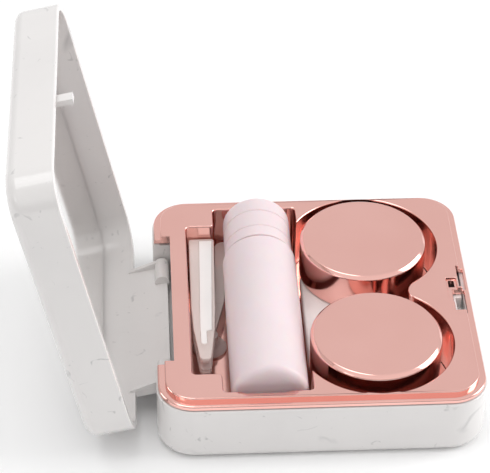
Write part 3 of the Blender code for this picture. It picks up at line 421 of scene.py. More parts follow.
def add(name, mesh, look, body, nodes, matrix=None):
    """Put a finished mesh in the scene, riding on its body in place of its CAD nodes."""
    if matrix is not None:
        mesh.transform(matrix)
    mesh.shade_smooth()
    mesh.set_sharp_from_angle(angle=SMOOTH_ANGLE)
    mesh.materials.clear()
    mesh.materials.append(look)
    made = bpy.data.objects.new(name, mesh)
    bpy.context.scene.collection.objects.link(made)
    even = made.modifiers.new("even_normals", "WEIGHTED_NORMAL")
    even.keep_sharp = True
    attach(made, body)
    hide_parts(*nodes)
    return made


# Materials

def new_material(name, **inputs):
    """A material and its node tree, with object coordinates ready."""
    made = bpy.data.materials.new(name)
    made.use_nodes = True
    tree = made.node_tree
    shader = tree.nodes["Principled BSDF"]
    for label, value in inputs.items():
        shader.inputs[label.replace("_", " ")].default_value = value
    place = tree.nodes.new("ShaderNodeTexCoord")
    return made, tree, shader, place.outputs["Object"]


def noise(tree, place, scale, detail=3.0, roughness=0.5, distortion=0.0):
    """A noise texture's value."""
    node = tree.nodes.new("ShaderNodeTexNoise")
    node.inputs["Scale"].default_value = scale
    node.inputs["Detail"].default_value = detail
    node.inputs["Roughness"].default_value = roughness
    node.inputs["Distortion"].default_value = distortion
    tree.links.new(place, node.inputs["Vector"])
    return node.outputs["Fac"]


def ramp(tree, value, stops):
    """A colour ramp through (position, colour) stops."""
    node = tree.nodes.new("ShaderNodeValToRGB")
    points = node.color_ramp.elements
    while len(points) < len(stops):
        points.new(0.5)
    for point, (position, colour) in zip(points, stops):
        point.position = position
        point.color = (*colour, 1) if len(colour) == 3 else colour
    tree.links.new(value, node.inputs["Fac"])
    return node.outputs["Color"]


def grey(level):
    """A grey of one level."""
    return (level, level, level)


def mix(tree, factor, first, second, blend="MIX"):
    """Two colours mixed; each is a socket or a colour."""
    node = tree.nodes.new("ShaderNodeMix")
    node.data_type = "RGBA"
    node.blend_type = blend
    wanted = ((node.inputs[0], factor), (node.inputs[6], first), (node.inputs[7], second))
    for socket, value in wanted:
        if isinstance(value, (int, float)):
            socket.default_value = value
        elif isinstance(value, tuple):
            socket.default_value = (*value, 1)
        else:
            tree.links.new(value, socket)
    return node.outputs[2]


def spread(tree, value, low, high):
    """A value from 0 to 1 mapped to a range."""
    node = tree.nodes.new("ShaderNodeMapRange")
    node.inputs["To Min"].default_value = low
    node.inputs["To Max"].default_value = high
    tree.links.new(value, node.inputs["Value"])
    return node.outputs["Result"]


def bump(tree, shader, height, distance, strength=1.0):
    """Fine relief from a height."""
    node = tree.nodes.new("ShaderNodeBump")
    node.inputs["Strength"].default_value = strength
    node.inputs["Distance"].default_value = distance
    tree.links.new(height, node.inputs["Height"])
    tree.links.new(node.outputs["Normal"], shader.inputs["Normal"])


def marble_plastic():
    """Glossy white moulding with a pale grey marble print."""
    made, tree, shader, place = new_material(
        "marbled_plastic", IOR=1.5, Coat_Weight=0.6, Coat_Roughness=0.08
    )
    cloud = noise(tree, place, 38, 4, 0.55, 0.6)
    white = (0.800, 0.776, 0.764)
    body = ramp(tree, cloud, [(0.35, (0.770, 0.746, 0.737)), (0.62, white)])
    vein = noise(tree, place, 34, 3, 0.5, 0.9)
    line = ramp(
        tree, vein, [(0.470, grey(0)), (0.498, grey(1)), (0.502, grey(1)), (0.530, grey(0))]
    )
    patch = noise(tree, place, 48, 2, 0.5, 0.2)
    seen = ramp(tree, patch, [(0.56, grey(0)), (0.70, grey(1))])
    wisps = mix(tree, 1.0, line, seen, "MULTIPLY")
    dust = noise(tree, place, 330, 2, 0.5, 1.2)
    specks = ramp(tree, dust, [(0.68, grey(0)), (0.82, grey(1))])
    marks = mix(tree, 1.0, wisps, specks, "LIGHTEN")
    veins = mix(tree, marks, body, (0.47, 0.46, 0.46))
    tree.links.new(veins, shader.inputs["Base Color"])
    fine = noise(tree, place, 900, 2)
    tree.links.new(spread(tree, fine, 0.16, 0.26), shader.inputs["Roughness"])
    bump(tree, shader, noise(tree, place, 320, 2), 0.02 * MM, 0.5)
    return made


def rose_gold():
    """Plastic plated in rose gold: nearly a mirror, with a faint orange peel."""
    made, tree, shader, place = new_material("rose_gold_plating", Metallic=1.0)
    cloud = noise(tree, place, 60, 3)
    tone = ramp(tree, cloud, [(0.3, (0.93, 0.530, 0.472)), (0.7, (0.96, 0.560, 0.502))])
    tree.links.new(tone, shader.inputs["Base Color"])
    smear = noise(tree, place, 240, 4, 0.6, 0.4)
    tree.links.new(spread(tree, smear, 0.07, 0.17), shader.inputs["Roughness"])
    bump(tree, shader, noise(tree, place, 420, 2), 0.012 * MM, 0.6)
    return made


def plain_plastic(name, colour, low, high, grain=700, relief=0.02, **inputs):
    """A moulded plastic with slight changes of tone, gloss and relief."""
    made, tree, shader, place = new_material(name, **inputs)
    cloud = noise(tree, place, 90, 3)
    darker = tuple(0.96 * part for part in colour)
    tree.links.new(ramp(tree, cloud, [(0.3, darker), (0.7, colour)]), shader.inputs["Base Color"])
    fine = noise(tree, place, grain, 3)
    tree.links.new(spread(tree, fine, low, high), shader.inputs["Roughness"])
    bump(tree, shader, fine, relief * MM, 0.6)
    return made


def show_edges(material, facing, grazing):
    """Let light through a material, less so where it is seen edge on."""
    tree = material.node_tree
    angle = tree.nodes.new("ShaderNodeLayerWeight")
    angle.inputs["Blend"].default_value = 0.35
    opacity = spread(tree, angle.outputs["Facing"], facing, grazing)
    tree.links.new(opacity, tree.nodes["Principled BSDF"].inputs["Alpha"])


def mirror_glass():
    """Silvered glass with a trace of haze."""
    made, tree, shader, place = new_material("mirror_glass", Metallic=1.0)
    haze = noise(tree, place, 45, 4)
    tone = ramp(tree, haze, [(0.3, (0.78, 0.77, 0.76)), (0.7, (0.83, 0.82, 0.81))])
    tree.links.new(tone, shader.inputs["Base Color"])
    tree.links.new(spread(tree, haze, 0.05, 0.10), shader.inputs["Roughness"])
    return made


def steel():
    """Bright drawn steel with fine lines."""
    made, tree, shader, place = new_material("steel", Metallic=1.0)
    lines = noise(tree, place, 2600, 2, 0.6)
    tone = ramp(tree, lines, [(0.3, (0.52, 0.52, 0.53)), (0.7, (0.66, 0.66, 0.66))])
    tree.links.new(tone, shader.inputs["Base Color"])
    tree.links.new(spread(tree, lines, 0.22, 0.36), shader.inputs["Roughness"])
    bump(tree, shader, lines, 0.004 * MM)
    return made


MARBLE = marble_plastic()
ROSE_GOLD = rose_gold()
WHITE = plain_plastic("white_plastic", (0.97, 0.955, 0.94), 0.24, 0.36, Coat_Weight=0.2)
FROSTED = plain_plastic(
    "frosted_plastic", (0.81, 0.685, 0.71), 0.36, 0.50, 1400, 0.012,
    Subsurface_Weight=0.35, Subsurface_Scale=2.0 * MM, Coat_Weight=0.12, Coat_Roughness=0.3,
)
CLEAR = plain_plastic("clear_soft_plastic", (0.98, 0.88, 0.84), 0.10, 0.20, 600, 0.02)
show_edges(CLEAR, 0.50, 0.90)
SILICONE = plain_plastic("silicone", (0.95, 0.86, 0.83), 0.35, 0.50, 900, 0.02)
show_edges(SILICONE, 0.50, 0.85)
SEAL = plain_plastic("seal_rubber", (0.84, 0.82, 0.80), 0.50, 0.62, 800, 0.02)
STEEL = steel()
MIRROR = mirror_glass()
FOAM = plain_plastic("adhesive_foam", (0.62, 0.62, 0.60), 0.75, 0.90, 1500, 0.08)


# Casing

def pocket_outline(grow=0.0):
    """The opening for tweezers, bottle and lens case, grown by a wall, its corners rounded.

    It runs anticlockwise from the slot's near left corner.
    """
    radius = POCKET_RADIUS + grow
    fillet = POCKET_FILLET - grow
    right = RECESS_RIGHT + grow
    rise = math.sqrt(radius**2 - (CAP_X - right) ** 2)
    meet = math.degrees(math.atan2(rise, right - CAP_X))
    fillet_x = CAP_X + math.sqrt((radius + fillet) ** 2 - CAP_Y**2)
    touch = math.degrees(math.atan2(CAP_Y, fillet_x - CAP_X))
    slot_left, recess_left = SLOT_LEFT - grow, RECESS_LEFT - grow
    slot_near, slot_far = SLOT_NEAR - grow, SLOT_FAR + grow
    near, far = RECESS_NEAR - grow, RECESS_FAR + grow
    outer = POCKET_CORNER + grow
    inner = POCKET_CORNER - grow

    def turn(x, y, sign_x, sign_y, start, size):
        """A corner's arc; the signs say which way its centre lies."""
        return arc((x + sign_x * size, y + sign_y * size), size, start, start + 90, 6)

    def back_turn(x, y, sign_x, sign_y, start):
        """An arc that bends the other way, at a corner that points into the opening."""
        if inner < SMALLEST_CORNER:
            return [(x, y)]
        return arc((x + sign_x * inner, y + sign_y * inner), inner, start, start - 90, 5)

    near_arc = arc((CAP_X, -CAP_Y), radius, -meet, touch, 72)
    fillet_arc = arc((fillet_x, 0), fillet, 180 + touch, 180 - touch, 16)
    far_arc = arc((CAP_X, CAP_Y), radius, -touch, meet, 72)
    return [
        *turn(slot_left, slot_near, 1, 1, 180, outer),
        *back_turn(recess_left, slot_near, -1, -1, 90),
        *turn(recess_left, near, 1, 1, 180, outer),
        *turn(right, near, -1, 1, 270, outer),
        *near_arc, *fillet_arc[1:-1], *far_arc,
        *turn(right, far, -1, -1, 0, outer),
        *turn(recess_left, far, 1, -1, 90, outer),
        *back_turn(recess_left, slot_far, -1, 1, 0),
        *turn(slot_left, slot_far, 1, -1, 90, outer),
    ]


def make_base_casing():
    """The lower casing with its hinge notch and latch window."""
    outer = prism(
        centred_rectangle(HALF_X, HALF_Y, CORNER_RADIUS), 0, SHELL_TOP,
        round_bottom=OUTER_EDGE, segments=10,
    )
    wall_x, wall_y = HALF_X - SHELL_WALL, HALF_Y - SHELL_WALL
    inner = centred_rectangle(wall_x, wall_y, CORNER_RADIUS - SHELL_WALL)
    notch_x = -HALF_X + NOTCH_DEPTH
    bore_end = NOTCH_HALF_LENGTH + PIN_BEARING
    block_end = bore_end + HINGE_BLOCK_WALL
    button_low, button_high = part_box("latch_button")
    window_half = button_high.y - BUTTON_LIP + GAP
    window_low = button_low.z + BUTTON_LIP - GAP
    window_high = BUTTON_TOP + GAP
    casing = combined(
        outer,
        ("-", prism(inner, SHELL_FLOOR, SHELL_TOP + THROUGH)),
        ("-", prism(pocket_outline(TRAY_WALL + GAP), SHELL_FLOOR, SHELL_TOP + THROUGH)),
        ("+", block(
            (-HALF_X + SHELL_WALL / 2, -block_end, SHELL_FLOOR / 2),
            (notch_x + HINGE_BLOCK_WALL, block_end, SHELL_TOP - GAP),
        )),
        ("-", block(
            (-HALF_X - THROUGH, -NOTCH_HALF_LENGTH, NOTCH_SILL),
            (notch_x, NOTCH_HALF_LENGTH, SHELL_TOP + THROUGH),
        )),
        ("-", rod((HINGE.x, -bore_end, HINGE.z), (HINGE.x, bore_end, HINGE.z), PIN_BORE)),
        ("-", block(
            (wall_x - THROUGH, -window_half, window_low),
            (HALF_X + THROUGH, window_half, window_high),
        )),
    )
    casing = combined(casing, ("+", block(
        (SPRING_STOP_FACE - SPRING_STOP_THICKNESS, -SPRING_STOP_HALF, SHELL_FLOOR / 2),
        (SPRING_STOP_FACE, SPRING_STOP_HALF, SPRING_STOP_TOP),
    )))

    def on_rim(co):
        return abs(co.z - SHELL_TOP) < TOUCH

    def round_window(co):
        return co.x > HALF_X - TOUCH and abs(co.y) < window_half + TOUCH and co.z < SHELL_TOP - THROUGH

    def round_notch(co):
        return co.x < -HALF_X + TOUCH and abs(co.y) < NOTCH_HALF_LENGTH + TOUCH

    soften(casing, RIM_EDGE, 3, on_rim, 50)
    soften(casing, WINDOW_EDGE, 3, round_window, 50)
    soften(casing, NOTCH_EDGE, 3, round_notch, 50)
    add("base_casing", casing, MARBLE, "base", ["base_shell"])


def make_tray():
    """The plated tray: flange, platform, pocket tub, cradles, scoop and latch openings."""
    top = PLATFORM_TOP + THROUGH
    flange_x, flange_y = TRAY_HIGH.x, TRAY_HIGH.y
    corner = CORNER_RADIUS - (HALF_X - flange_x)
    flange = prism(centred_rectangle(flange_x, flange_y, corner), FLANGE_BOTTOM, FLANGE_TOP,
                   round_top=FLANGE_EDGE, segments=5)
    platform = prism(
        centred_rectangle(flange_x - FLANGE_WIDTH, flange_y - FLANGE_WIDTH, corner - FLANGE_WIDTH),
        FLANGE_BOTTOM + SINK, PLATFORM_TOP, round_top=PLATFORM_EDGE, segments=4,
    )
    tub = prism(pocket_outline(TRAY_WALL), TRAY_BOTTOM, FLANGE_TOP)
    pocket = prism(pocket_outline(), TRAY_FLOOR, top)
    tray = combined(flange, ("+", platform), ("+", tub), ("-", pocket))
    soften(tray, POCKET_LIP, 5, on_pocket_rim, 60, False)
    soften(tray, TUB_FLOOR_FILLET, 4, lambda co: abs(co.z - TRAY_FLOOR) < TOUCH, 60)
    steps = []
    bottle_length = BOTTLE_HIGH.y - BOTTLE_NECK_LENGTH - BOTTLE_LOW.y
    for share in CRADLE_PLACES:
        centre = BOTTLE_LOW.y + share * bottle_length
        steps.append(("+", block(
            (BOTTLE_LOW.x + CRADLE_SIDE_INSET, centre - CRADLE_WIDTH / 2, TRAY_FLOOR - TRAY_WALL / 2),
            (BOTTLE_HIGH.x, centre + CRADLE_WIDTH / 2, BOTTLE_LOW.z + CRADLE_RISE),
        )))
    steps.append(("-", rod(
        (BOTTLE_X, RECESS_NEAR + GAP, BOTTLE_Z),
        (BOTTLE_X, BOTTLE_LOW.y + bottle_length + GAP, BOTTLE_Z),
        BOTTLE_RADIUS + GAP, 72,
    )))
    steps.append(("-", block(
        (-HALF_X - THROUGH, -NOTCH_HALF_LENGTH, TRAY_FLOOR),
        (-HALF_X + NOTCH_DEPTH - TRAY_NOTCH_SHORTFALL, NOTCH_HALF_LENGTH, top),
    )))
    scoop_radius = (SCOOP_HALF_WIDTH**2 + SCOOP_DEPTH**2) / (2 * SCOOP_DEPTH)
    scoop_x = BOTTLE_X - SCOOP_SHIFT
    scoop_z = PLATFORM_TOP - SCOOP_DEPTH + scoop_radius
    steps.append(("-", rod(
        (scoop_x, RECESS_NEAR - TRAY_WALL, scoop_z), (scoop_x, RECESS_NEAR + THROUGH, scoop_z),
        scoop_radius, 160,
    )))
    below = FLANGE_BOTTOM - THROUGH
    catch_left = HALF_X - LID_WALL - GAP - CATCH_THICKNESS
    catch_half = CATCH_LENGTH / 2 + CATCH_END_ROOM
    steps.append(("-", block(
        (catch_left - CATCH_BARB - CATCH_SWING_ROOM, CATCH_Y - catch_half, below),
        (HALF_X - LID_WALL, CATCH_Y + catch_half, top),
    )))
    recess_floor = PLATFORM_TOP - LATCH_RECESS_DEPTH
    for opening, floor in ((RIM_WINDOW, below), (LATCH_RECESS, recess_floor), (LATCH_HOLE, below)):
        left, right, near, far = opening
        steps.append(("-", block((HALF_X - left, near, floor), (HALF_X - right, far, top))))
    tray = combined(tray, *steps)
    soften(tray, OPENING_EDGE, 2, round_latch_openings, 60)
    add("tray", tray, ROSE_GOLD, "base", ["tray_insert"])


def on_pocket_rim(co):
    """Whether a point lies on the platform's top, clear of its outer edge."""
    inside = abs(co.x) < HALF_X - EDGE_BAND_X and abs(co.y) < HALF_Y - EDGE_BAND_Y
    return abs(co.z - PLATFORM_TOP) < TOUCH and inside


def round_latch_openings(co):
    """Whether a point lies about the latch openings, above the flange's underside."""
    near = co.x > HALF_X - LATCH_BAND and abs(co.y) < LATCH_HALF
    return near and co.z > FLANGE_BOTTOM + SINK


def make_lid():
    """The upper casing with flap, knuckles, gussets and catch, its mirror and tape."""
    inner_x, inner_y = HALF_X - LID_WALL, HALF_Y - LID_WALL
    outer = prism(centred_rectangle(HALF_X, HALF_Y, CORNER_RADIUS), LID_RIM, LID_HIGH.z,
                  round_top=OUTER_EDGE, segments=10)
    cavity = prism(centred_rectangle(inner_x, inner_y, CORNER_RADIUS - LID_WALL),
                   LID_RIM - THROUGH, LID_CEILING, round_top=LID_INNER_EDGE, segments=6)
    lid = combined(outer, ("-", cavity))
    soften(lid, RIM_EDGE, 4, lambda co: abs(co.z - LID_RIM) < TOUCH, 60)
    half = NOTCH_HALF_LENGTH - FLAP_END_GAP
    outside = -HALF_X + SINK
    inside = outside + FLAP_THICKNESS
    foot = HINGE.z - FLAP_TAIL
    root_z = LID_RIM + LID_WALL
    flap = [
        (outside + FLAP_CHAMFER, foot), (inside, foot), (inside, root_z),
        (outside, root_z), (outside, foot + FLAP_CHAMFER),
    ]
    steps = [("+", prism_along_y(flap, -half, half))]
    middle = outside + FLAP_THICKNESS / 3
    gusset = [
        (middle, HINGE.z), (HINGE.x + 0.9 * KNUCKLE_RADIUS, HINGE.z + 0.2 * KNUCKLE_RADIUS),
        (inside + 2 * SINK, HINGE.z + GUSSET_HEIGHT), (middle, HINGE.z + GUSSET_HEIGHT),
    ]
    bores = []
    for side in (1, -1):
        root, end = side * (half - KNUCKLE_LENGTH), side * half
        knuckle = rod((HINGE.x, root, HINGE.z), (HINGE.x, end, HINGE.z), KNUCKLE_RADIUS, 40)
        steps.append(("+", knuckle))
        low, high = sorted((side * (half - GUSSET_THICKNESS), side * (half - SINK)))
        steps.append(("+", prism_along_y(gusset, low, high)))
        bores.append(("-", rod(
            (HINGE.x, root + side * GAP, HINGE.z), (HINGE.x, end + side * THROUGH, HINGE.z),
            PIN_BORE, 32,
        )))
    catch_right = HALF_X - LID_WALL - GAP
    catch_left = catch_right - CATCH_THICKNESS
    catch_foot = LID_RIM + CATCH_FOOT
    catch_root = catch_foot + CATCH_ROOT_HEIGHT
    in_wall = HALF_X - LID_WALL / 2
    barb_x = catch_left - CATCH_BARB
    barb_top = CATCH_BOTTOM + CATCH_BARB
    catch = [
        (catch_left, CATCH_BOTTOM), (catch_right, CATCH_BOTTOM), (catch_right, catch_foot),
        (in_wall, catch_foot), (in_wall, catch_root), (catch_left, catch_root), (catch_left, barb_top),
        (barb_x, barb_top), (barb_x, barb_top - BARB_LAND),
    ]
    steps.append(("+", prism_along_y(catch, CATCH_Y - CATCH_LENGTH / 2, CATCH_Y + CATCH_LENGTH / 2)))
    lid = combined(lid, *steps, *bores)
    soften(lid, CATCH_EDGE, 2, lambda co: co.z < LID_RIM - 2 * SINK, 50)
    add("lid_casing", lid, MARBLE, "lid", ["lid_shell"], SWING)

    glass_low, glass_high = shut_box("mirror")
    corner = CORNER_RADIUS - LID_WALL - MIRROR_MARGIN
    glass = prism(rounded_rectangle(glass_low.xy, glass_high.xy, corner), glass_low.z, glass_high.z,
                  round_bottom=MIRROR_EDGE, segments=3)
    add("mirror_plate", glass, MIRROR, "lid", ["mirror"], SWING)
    tape_low, tape_high = shut_box("mirror_tape")
    outline = rounded_rectangle(tape_low.xy, tape_high.xy, corner - TAPE_INSET)
    tape = prism(outline, tape_low.z, tape_high.z)
    add("mirror_tape_sheet", tape, FOAM, "lid", ["mirror_tape"], SWING)


# Lens case

CAP_WALL = 0.85 * MM
CAP_TOP_THICKNESS = 0.8 * MM
CAP_EDGE = 0.5 * MM
CAP_EDGE_SLOPE = 0.45 * MM
CAP_FOOT_EDGE = 0.25 * MM
CAP_BORE_EDGE = 0.15 * MM
CAP_CEILING_EDGE = 0.3 * MM
LINER_WALL = 0.7 * MM
LINER_TOP_THICKNESS = 0.6 * MM
LINER_EDGE = 0.3 * MM
LINER_FOOT_EDGE = 0.2 * MM
LINER_THREAD_START = 0.9 * MM
LINER_THREAD_RADIUS = 0.18 * MM
SEAL_EDGE = 0.15 * MM
SEAL_RING = 0.9 * MM
SEAL_SLOPE = 0.2 * MM
CAP_THREAD_PITCH = 3.0 * MM
CAP_THREAD_TURNS = 1.25
WEB_TOP = 8.0 * MM
WEB_THICKNESS = 2.8 * MM
WEB_CORNER = 2.5 * MM
WEB_EDGE = 0.6 * MM
WEB_REACH = 4 * MM
WELL_NECK_RADIUS = 11.2 * MM
WELL_WALL = 1.4 * MM
WELL_LIP = 0.35 * MM
BOWL_FLOOR = 1.7 * MM
BOWL_DEPTH = 4.5 * MM
WELL_FOOT_STEP = 1.0 * MM
WELL_FOOT_EDGE = 0.8 * MM
NECK_FOOT_HEIGHT = 0.5 * MM
NECK_FOOT_STEP = 0.3 * MM
WELL_THREAD_START = 1.3 * MM
WELL_THREAD_RADIUS = 0.35 * MM


def make_lens_cap(side, name):
    """A plated screw cap, its threaded liner and its seal."""
    centre = Matrix.Translation((CAP_X, side * CAP_Y, 0))
    low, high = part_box(f"lens_cap_{name}")
    radius = (high.x - low.x) / 2
    bore = radius - CAP_WALL
    ceiling = high.z - CAP_TOP_THICKNESS
    edge, slope = CAP_EDGE, CAP_EDGE_SLOPE
    corner = [
        *arc((radius - edge - slope, high.z - edge), edge, 90, 45, 6),
        *arc((radius - edge, high.z - edge - slope), edge, 45, 0, 6),
    ]
    foot = arc((radius - CAP_FOOT_EDGE, low.z + CAP_FOOT_EDGE), CAP_FOOT_EDGE, 0, -90, 4)
    shell = [
        (0, high.z), (0.5 * radius, high.z), *corner, *foot,
        (bore + CAP_BORE_EDGE, low.z), (bore, low.z + CAP_BORE_EDGE),
        (bore, ceiling - CAP_CEILING_EDGE), (bore - CAP_CEILING_EDGE, ceiling), (0, ceiling),
    ]
    add(f"cap_{name}", turned(shell, 160), ROSE_GOLD, f"cap_{name}", [f"lens_cap_{name}"],
        centre)
    liner_low, liner_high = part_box(f"cap_liner_{name}")
    outer = (liner_high.x - liner_low.x) / 2
    inner = outer - LINER_WALL
    underside = liner_high.z - LINER_TOP_THICKNESS
    liner = [
        (0, liner_high.z), (outer - LINER_EDGE, liner_high.z), (outer, liner_high.z - LINER_EDGE),
        (outer, liner_low.z), (inner + LINER_FOOT_EDGE, liner_low.z),
        (inner, liner_low.z + LINER_FOOT_EDGE), (inner, underside), (0, underside),
    ]
    body = turned(liner, 96)
    start = liner_low.z + LINER_THREAD_START
    turns = helix(inner, start, CAP_THREAD_PITCH, CAP_THREAD_TURNS, 48)
    body = combined(body, ("+", wire(turns, LINER_THREAD_RADIUS)))
    add(f"cap_{name}_liner", body, WHITE, f"cap_{name}", [f"cap_liner_{name}"],
        centre)
    seal_low, seal_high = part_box(f"cap_seal_{name}")
    rim = (seal_high.x - seal_low.x) / 2
    thick = seal_high.z - seal_low.z
    hollow = seal_low.z + 0.25 * thick
    seal = disc(rim, seal_low.z, seal_high.z, SEAL_EDGE, [
        (rim - SEAL_RING, seal_low.z), (rim - SEAL_RING - SEAL_SLOPE, hollow), (0, hollow),
    ])
    add(f"cap_{name}_seal", turned(seal, 96), SEAL, f"seal_{name}", [f"cap_seal_{name}"],
        centre)


def make_lens_case():
    """The white body: two threaded wells on a web."""
    low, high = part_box("lens_case_body")
    web = prism(
        rounded_rectangle((low.x, -CAP_Y), (CAP_X + WEB_REACH, CAP_Y), WEB_CORNER),
        WEB_TOP - WEB_THICKNESS, WEB_TOP, WEB_EDGE, WEB_EDGE, 4,
    )
    neck_top, neck = high.z, WELL_NECK_RADIUS
    bore = neck - WELL_WALL
    bowl_floor = low.z + BOWL_FLOOR
    foot = neck + WELL_FOOT_STEP
    bowl = [
        (bore * math.sin(angle), bowl_floor + BOWL_DEPTH * (1 - math.cos(angle)))
        for angle in [math.radians(6 * step) for step in range(16)]
    ]
    lip = arc((bore + WELL_LIP, neck_top - WELL_LIP), WELL_LIP, 180, 90, 4)
    outer_lip = arc((neck - WELL_LIP, neck_top - WELL_LIP), WELL_LIP, 90, 0, 4)
    base = arc((foot - WELL_FOOT_EDGE, low.z + WELL_FOOT_EDGE), WELL_FOOT_EDGE, 0, -90, 5)
    profile = [
        *bowl, *lip, *outer_lip, (neck, WEB_TOP + NECK_FOOT_HEIGHT),
        (neck + NECK_FOOT_STEP, WEB_TOP + SINK), (foot, WEB_TOP + SINK), *base, (0, low.z),
    ]
    body = web
    for side in (1, -1):
        shift = Matrix.Translation((CAP_X, side * CAP_Y, 0))
        well = turned(profile, 96)
        well.transform(shift)
        start = WEB_TOP + WELL_THREAD_START
        turns = helix(neck, start, CAP_THREAD_PITCH, CAP_THREAD_TURNS, 48)
        thread = wire(turns, WELL_THREAD_RADIUS)
        thread.transform(shift)
        body = combined(body, ("+", well), ("+", thread))
    add("lens_case", body, WHITE, "lens_case", ["lens_case_body"])


# Bottle

BOTTLE_WALL = 1.0 * MM
BOTTLE_EDGE = 1.2 * MM
BOTTLE_BORE_EDGE = 0.6 * MM
BOTTLE_NECK_FILLET = 0.3 * MM
HEEL_HOLLOW = 0.25 * MM
HEEL_RING = 2.2 * MM
HEEL_SLOPE = 0.6 * MM
BOTTLE_NECK_RADIUS = 4.8 * MM
BOTTLE_NECK_WALL = 1.4 * MM
BOTTLE_THREAD_PITCH = 1.5 * MM
BOTTLE_THREAD_TURNS = 2
BOTTLE_THREAD_RADIUS = 0.3 * MM
NOZZLE_LENGTH = 4.4 * MM
NOZZLE_BORE = 0.5 * MM
NOZZLE_TIP_RADIUS = 1.0 * MM
NOZZLE_ROOT_RADIUS = 1.8 * MM
NOZZLE_EDGE = 0.2 * MM
PLUG_FLANGE = 0.8 * MM
BOTTLE_CAP_BORE_ROOM = 0.6 * MM
BOTTLE_CAP_TOP = 1.2 * MM
BOTTLE_CAP_FOOT_EDGE = 0.3 * MM
BOTTLE_LINER_EDGE = 0.2 * MM
BOTTLE_CAP_GROOVE = 0.25 * MM
BOTTLE_CAP_GROOVES = (4.9 * MM, 10.2 * MM)


def make_bottle():
    """Bottle, dropper plug, screw cap and liner, turned about the bottle's axis."""
    along = Matrix.Rotation(-math.pi / 2, 4, "X")
    axis = Matrix.Translation((BOTTLE_X, BOTTLE_LOW.y, BOTTLE_Z)) @ along
    radius, wall, edge = BOTTLE_RADIUS, BOTTLE_WALL, BOTTLE_EDGE
    neck = BOTTLE_NECK_RADIUS
    length = BOTTLE_HIGH.y - BOTTLE_LOW.y - BOTTLE_NECK_LENGTH
    bore = radius - wall
    neck_bore = neck - BOTTLE_NECK_WALL
    neck_end = length + BOTTLE_NECK_LENGTH
    shoulder = arc((radius - edge, length - edge), edge, 90, 0, 8)
    heel = arc((radius - edge, edge), edge, 0, -90, 8)
    profile = [
        (0, wall), (bore - BOTTLE_BORE_EDGE, wall), (bore, wall + BOTTLE_BORE_EDGE),
        (bore, length - 2 * wall), (neck_bore, length - wall), (neck_bore, neck_end),
        (neck, neck_end), (neck, length + BOTTLE_NECK_FILLET),
        (neck + BOTTLE_NECK_FILLET, length), *shoulder, *heel, (radius - HEEL_RING, 0),
        (radius - HEEL_RING - HEEL_SLOPE, HEEL_HOLLOW), (0, HEEL_HOLLOW),
    ]
    body = turned(profile[::-1], 128)
    thread_length = BOTTLE_THREAD_TURNS * BOTTLE_THREAD_PITCH
    thread_start = length + (BOTTLE_NECK_LENGTH - thread_length) / 2
    turns = helix(neck, thread_start, BOTTLE_THREAD_PITCH, BOTTLE_THREAD_TURNS, 32)
    body = combined(body, ("+", wire(turns, BOTTLE_THREAD_RADIUS)))
    add("bottle", body, FROSTED, "bottle", ["bottle_body"], axis)

    plug_radius = neck_bore - GAP
    seat = neck_end + GAP
    nozzle_end = seat + NOZZLE_LENGTH
    flange = seat + PLUG_FLANGE
    plug = [
        (NOZZLE_BORE, length + wall), (NOZZLE_BORE, nozzle_end), (NOZZLE_TIP_RADIUS, nozzle_end),
        (NOZZLE_TIP_RADIUS + NOZZLE_EDGE, nozzle_end - NOZZLE_EDGE), (NOZZLE_ROOT_RADIUS, flange),
        (neck - NOZZLE_EDGE, flange), (neck, flange - NOZZLE_EDGE), (neck, seat),
        (plug_radius, seat), (plug_radius, length + wall), (NOZZLE_BORE, length + wall),
    ]
    add("bottle_dropper", turned(plug, 64), WHITE, "bottle", ["bottle_plug"],
        axis)

    start = BOTTLE_CAP_LOW.y - BOTTLE_LOW.y
    end = BOTTLE_CAP_HIGH.y - BOTTLE_LOW.y
    outer = (BOTTLE_CAP_HIGH.x - BOTTLE_CAP_LOW.x) / 2
    cap_bore = neck + BOTTLE_CAP_BORE_ROOM
    ceiling = end - BOTTLE_CAP_TOP
    foot = BOTTLE_CAP_FOOT_EDGE
    groove = BOTTLE_CAP_GROOVE
    grooves = []
    for below in BOTTLE_CAP_GROOVES:
        height = end - below
        grooves += [
            (outer, height + groove), (outer - 0.6 * groove, height + 0.7 * groove),
            (outer - groove, height),
            (outer - 0.6 * groove, height - 0.7 * groove), (outer, height - groove),
        ]
    cap = [
        (0, end), *arc((outer - edge, end - edge), edge, 90, 0, 8), *grooves,
        *arc((outer - foot, start + foot), foot, 0, -90, 3), (cap_bore, start),
        (cap_bore, ceiling), (0, ceiling),
    ]
    add("bottle_screw_cap", turned(cap, 128), FROSTED, "bottle_cap", ["bottle_cap"],
        axis)

    liner_low, liner_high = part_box("bottle_cap_liner")
    liner_start, liner_end = liner_low.y - BOTTLE_LOW.y, liner_high.y - BOTTLE_LOW.y
    rim = (liner_high.x - liner_low.x) / 2
    liner = disc(rim, liner_start, liner_end, BOTTLE_LINER_EDGE)
    add("bottle_cap_seal", turned(liner, 64), SEAL, "bottle_liner", ["bottle_cap_liner"],
        axis)


# Tweezers and remover

TWEEZERS_WIDTH = 5.6 * MM
TWEEZERS_LENGTH = 40.0 * MM
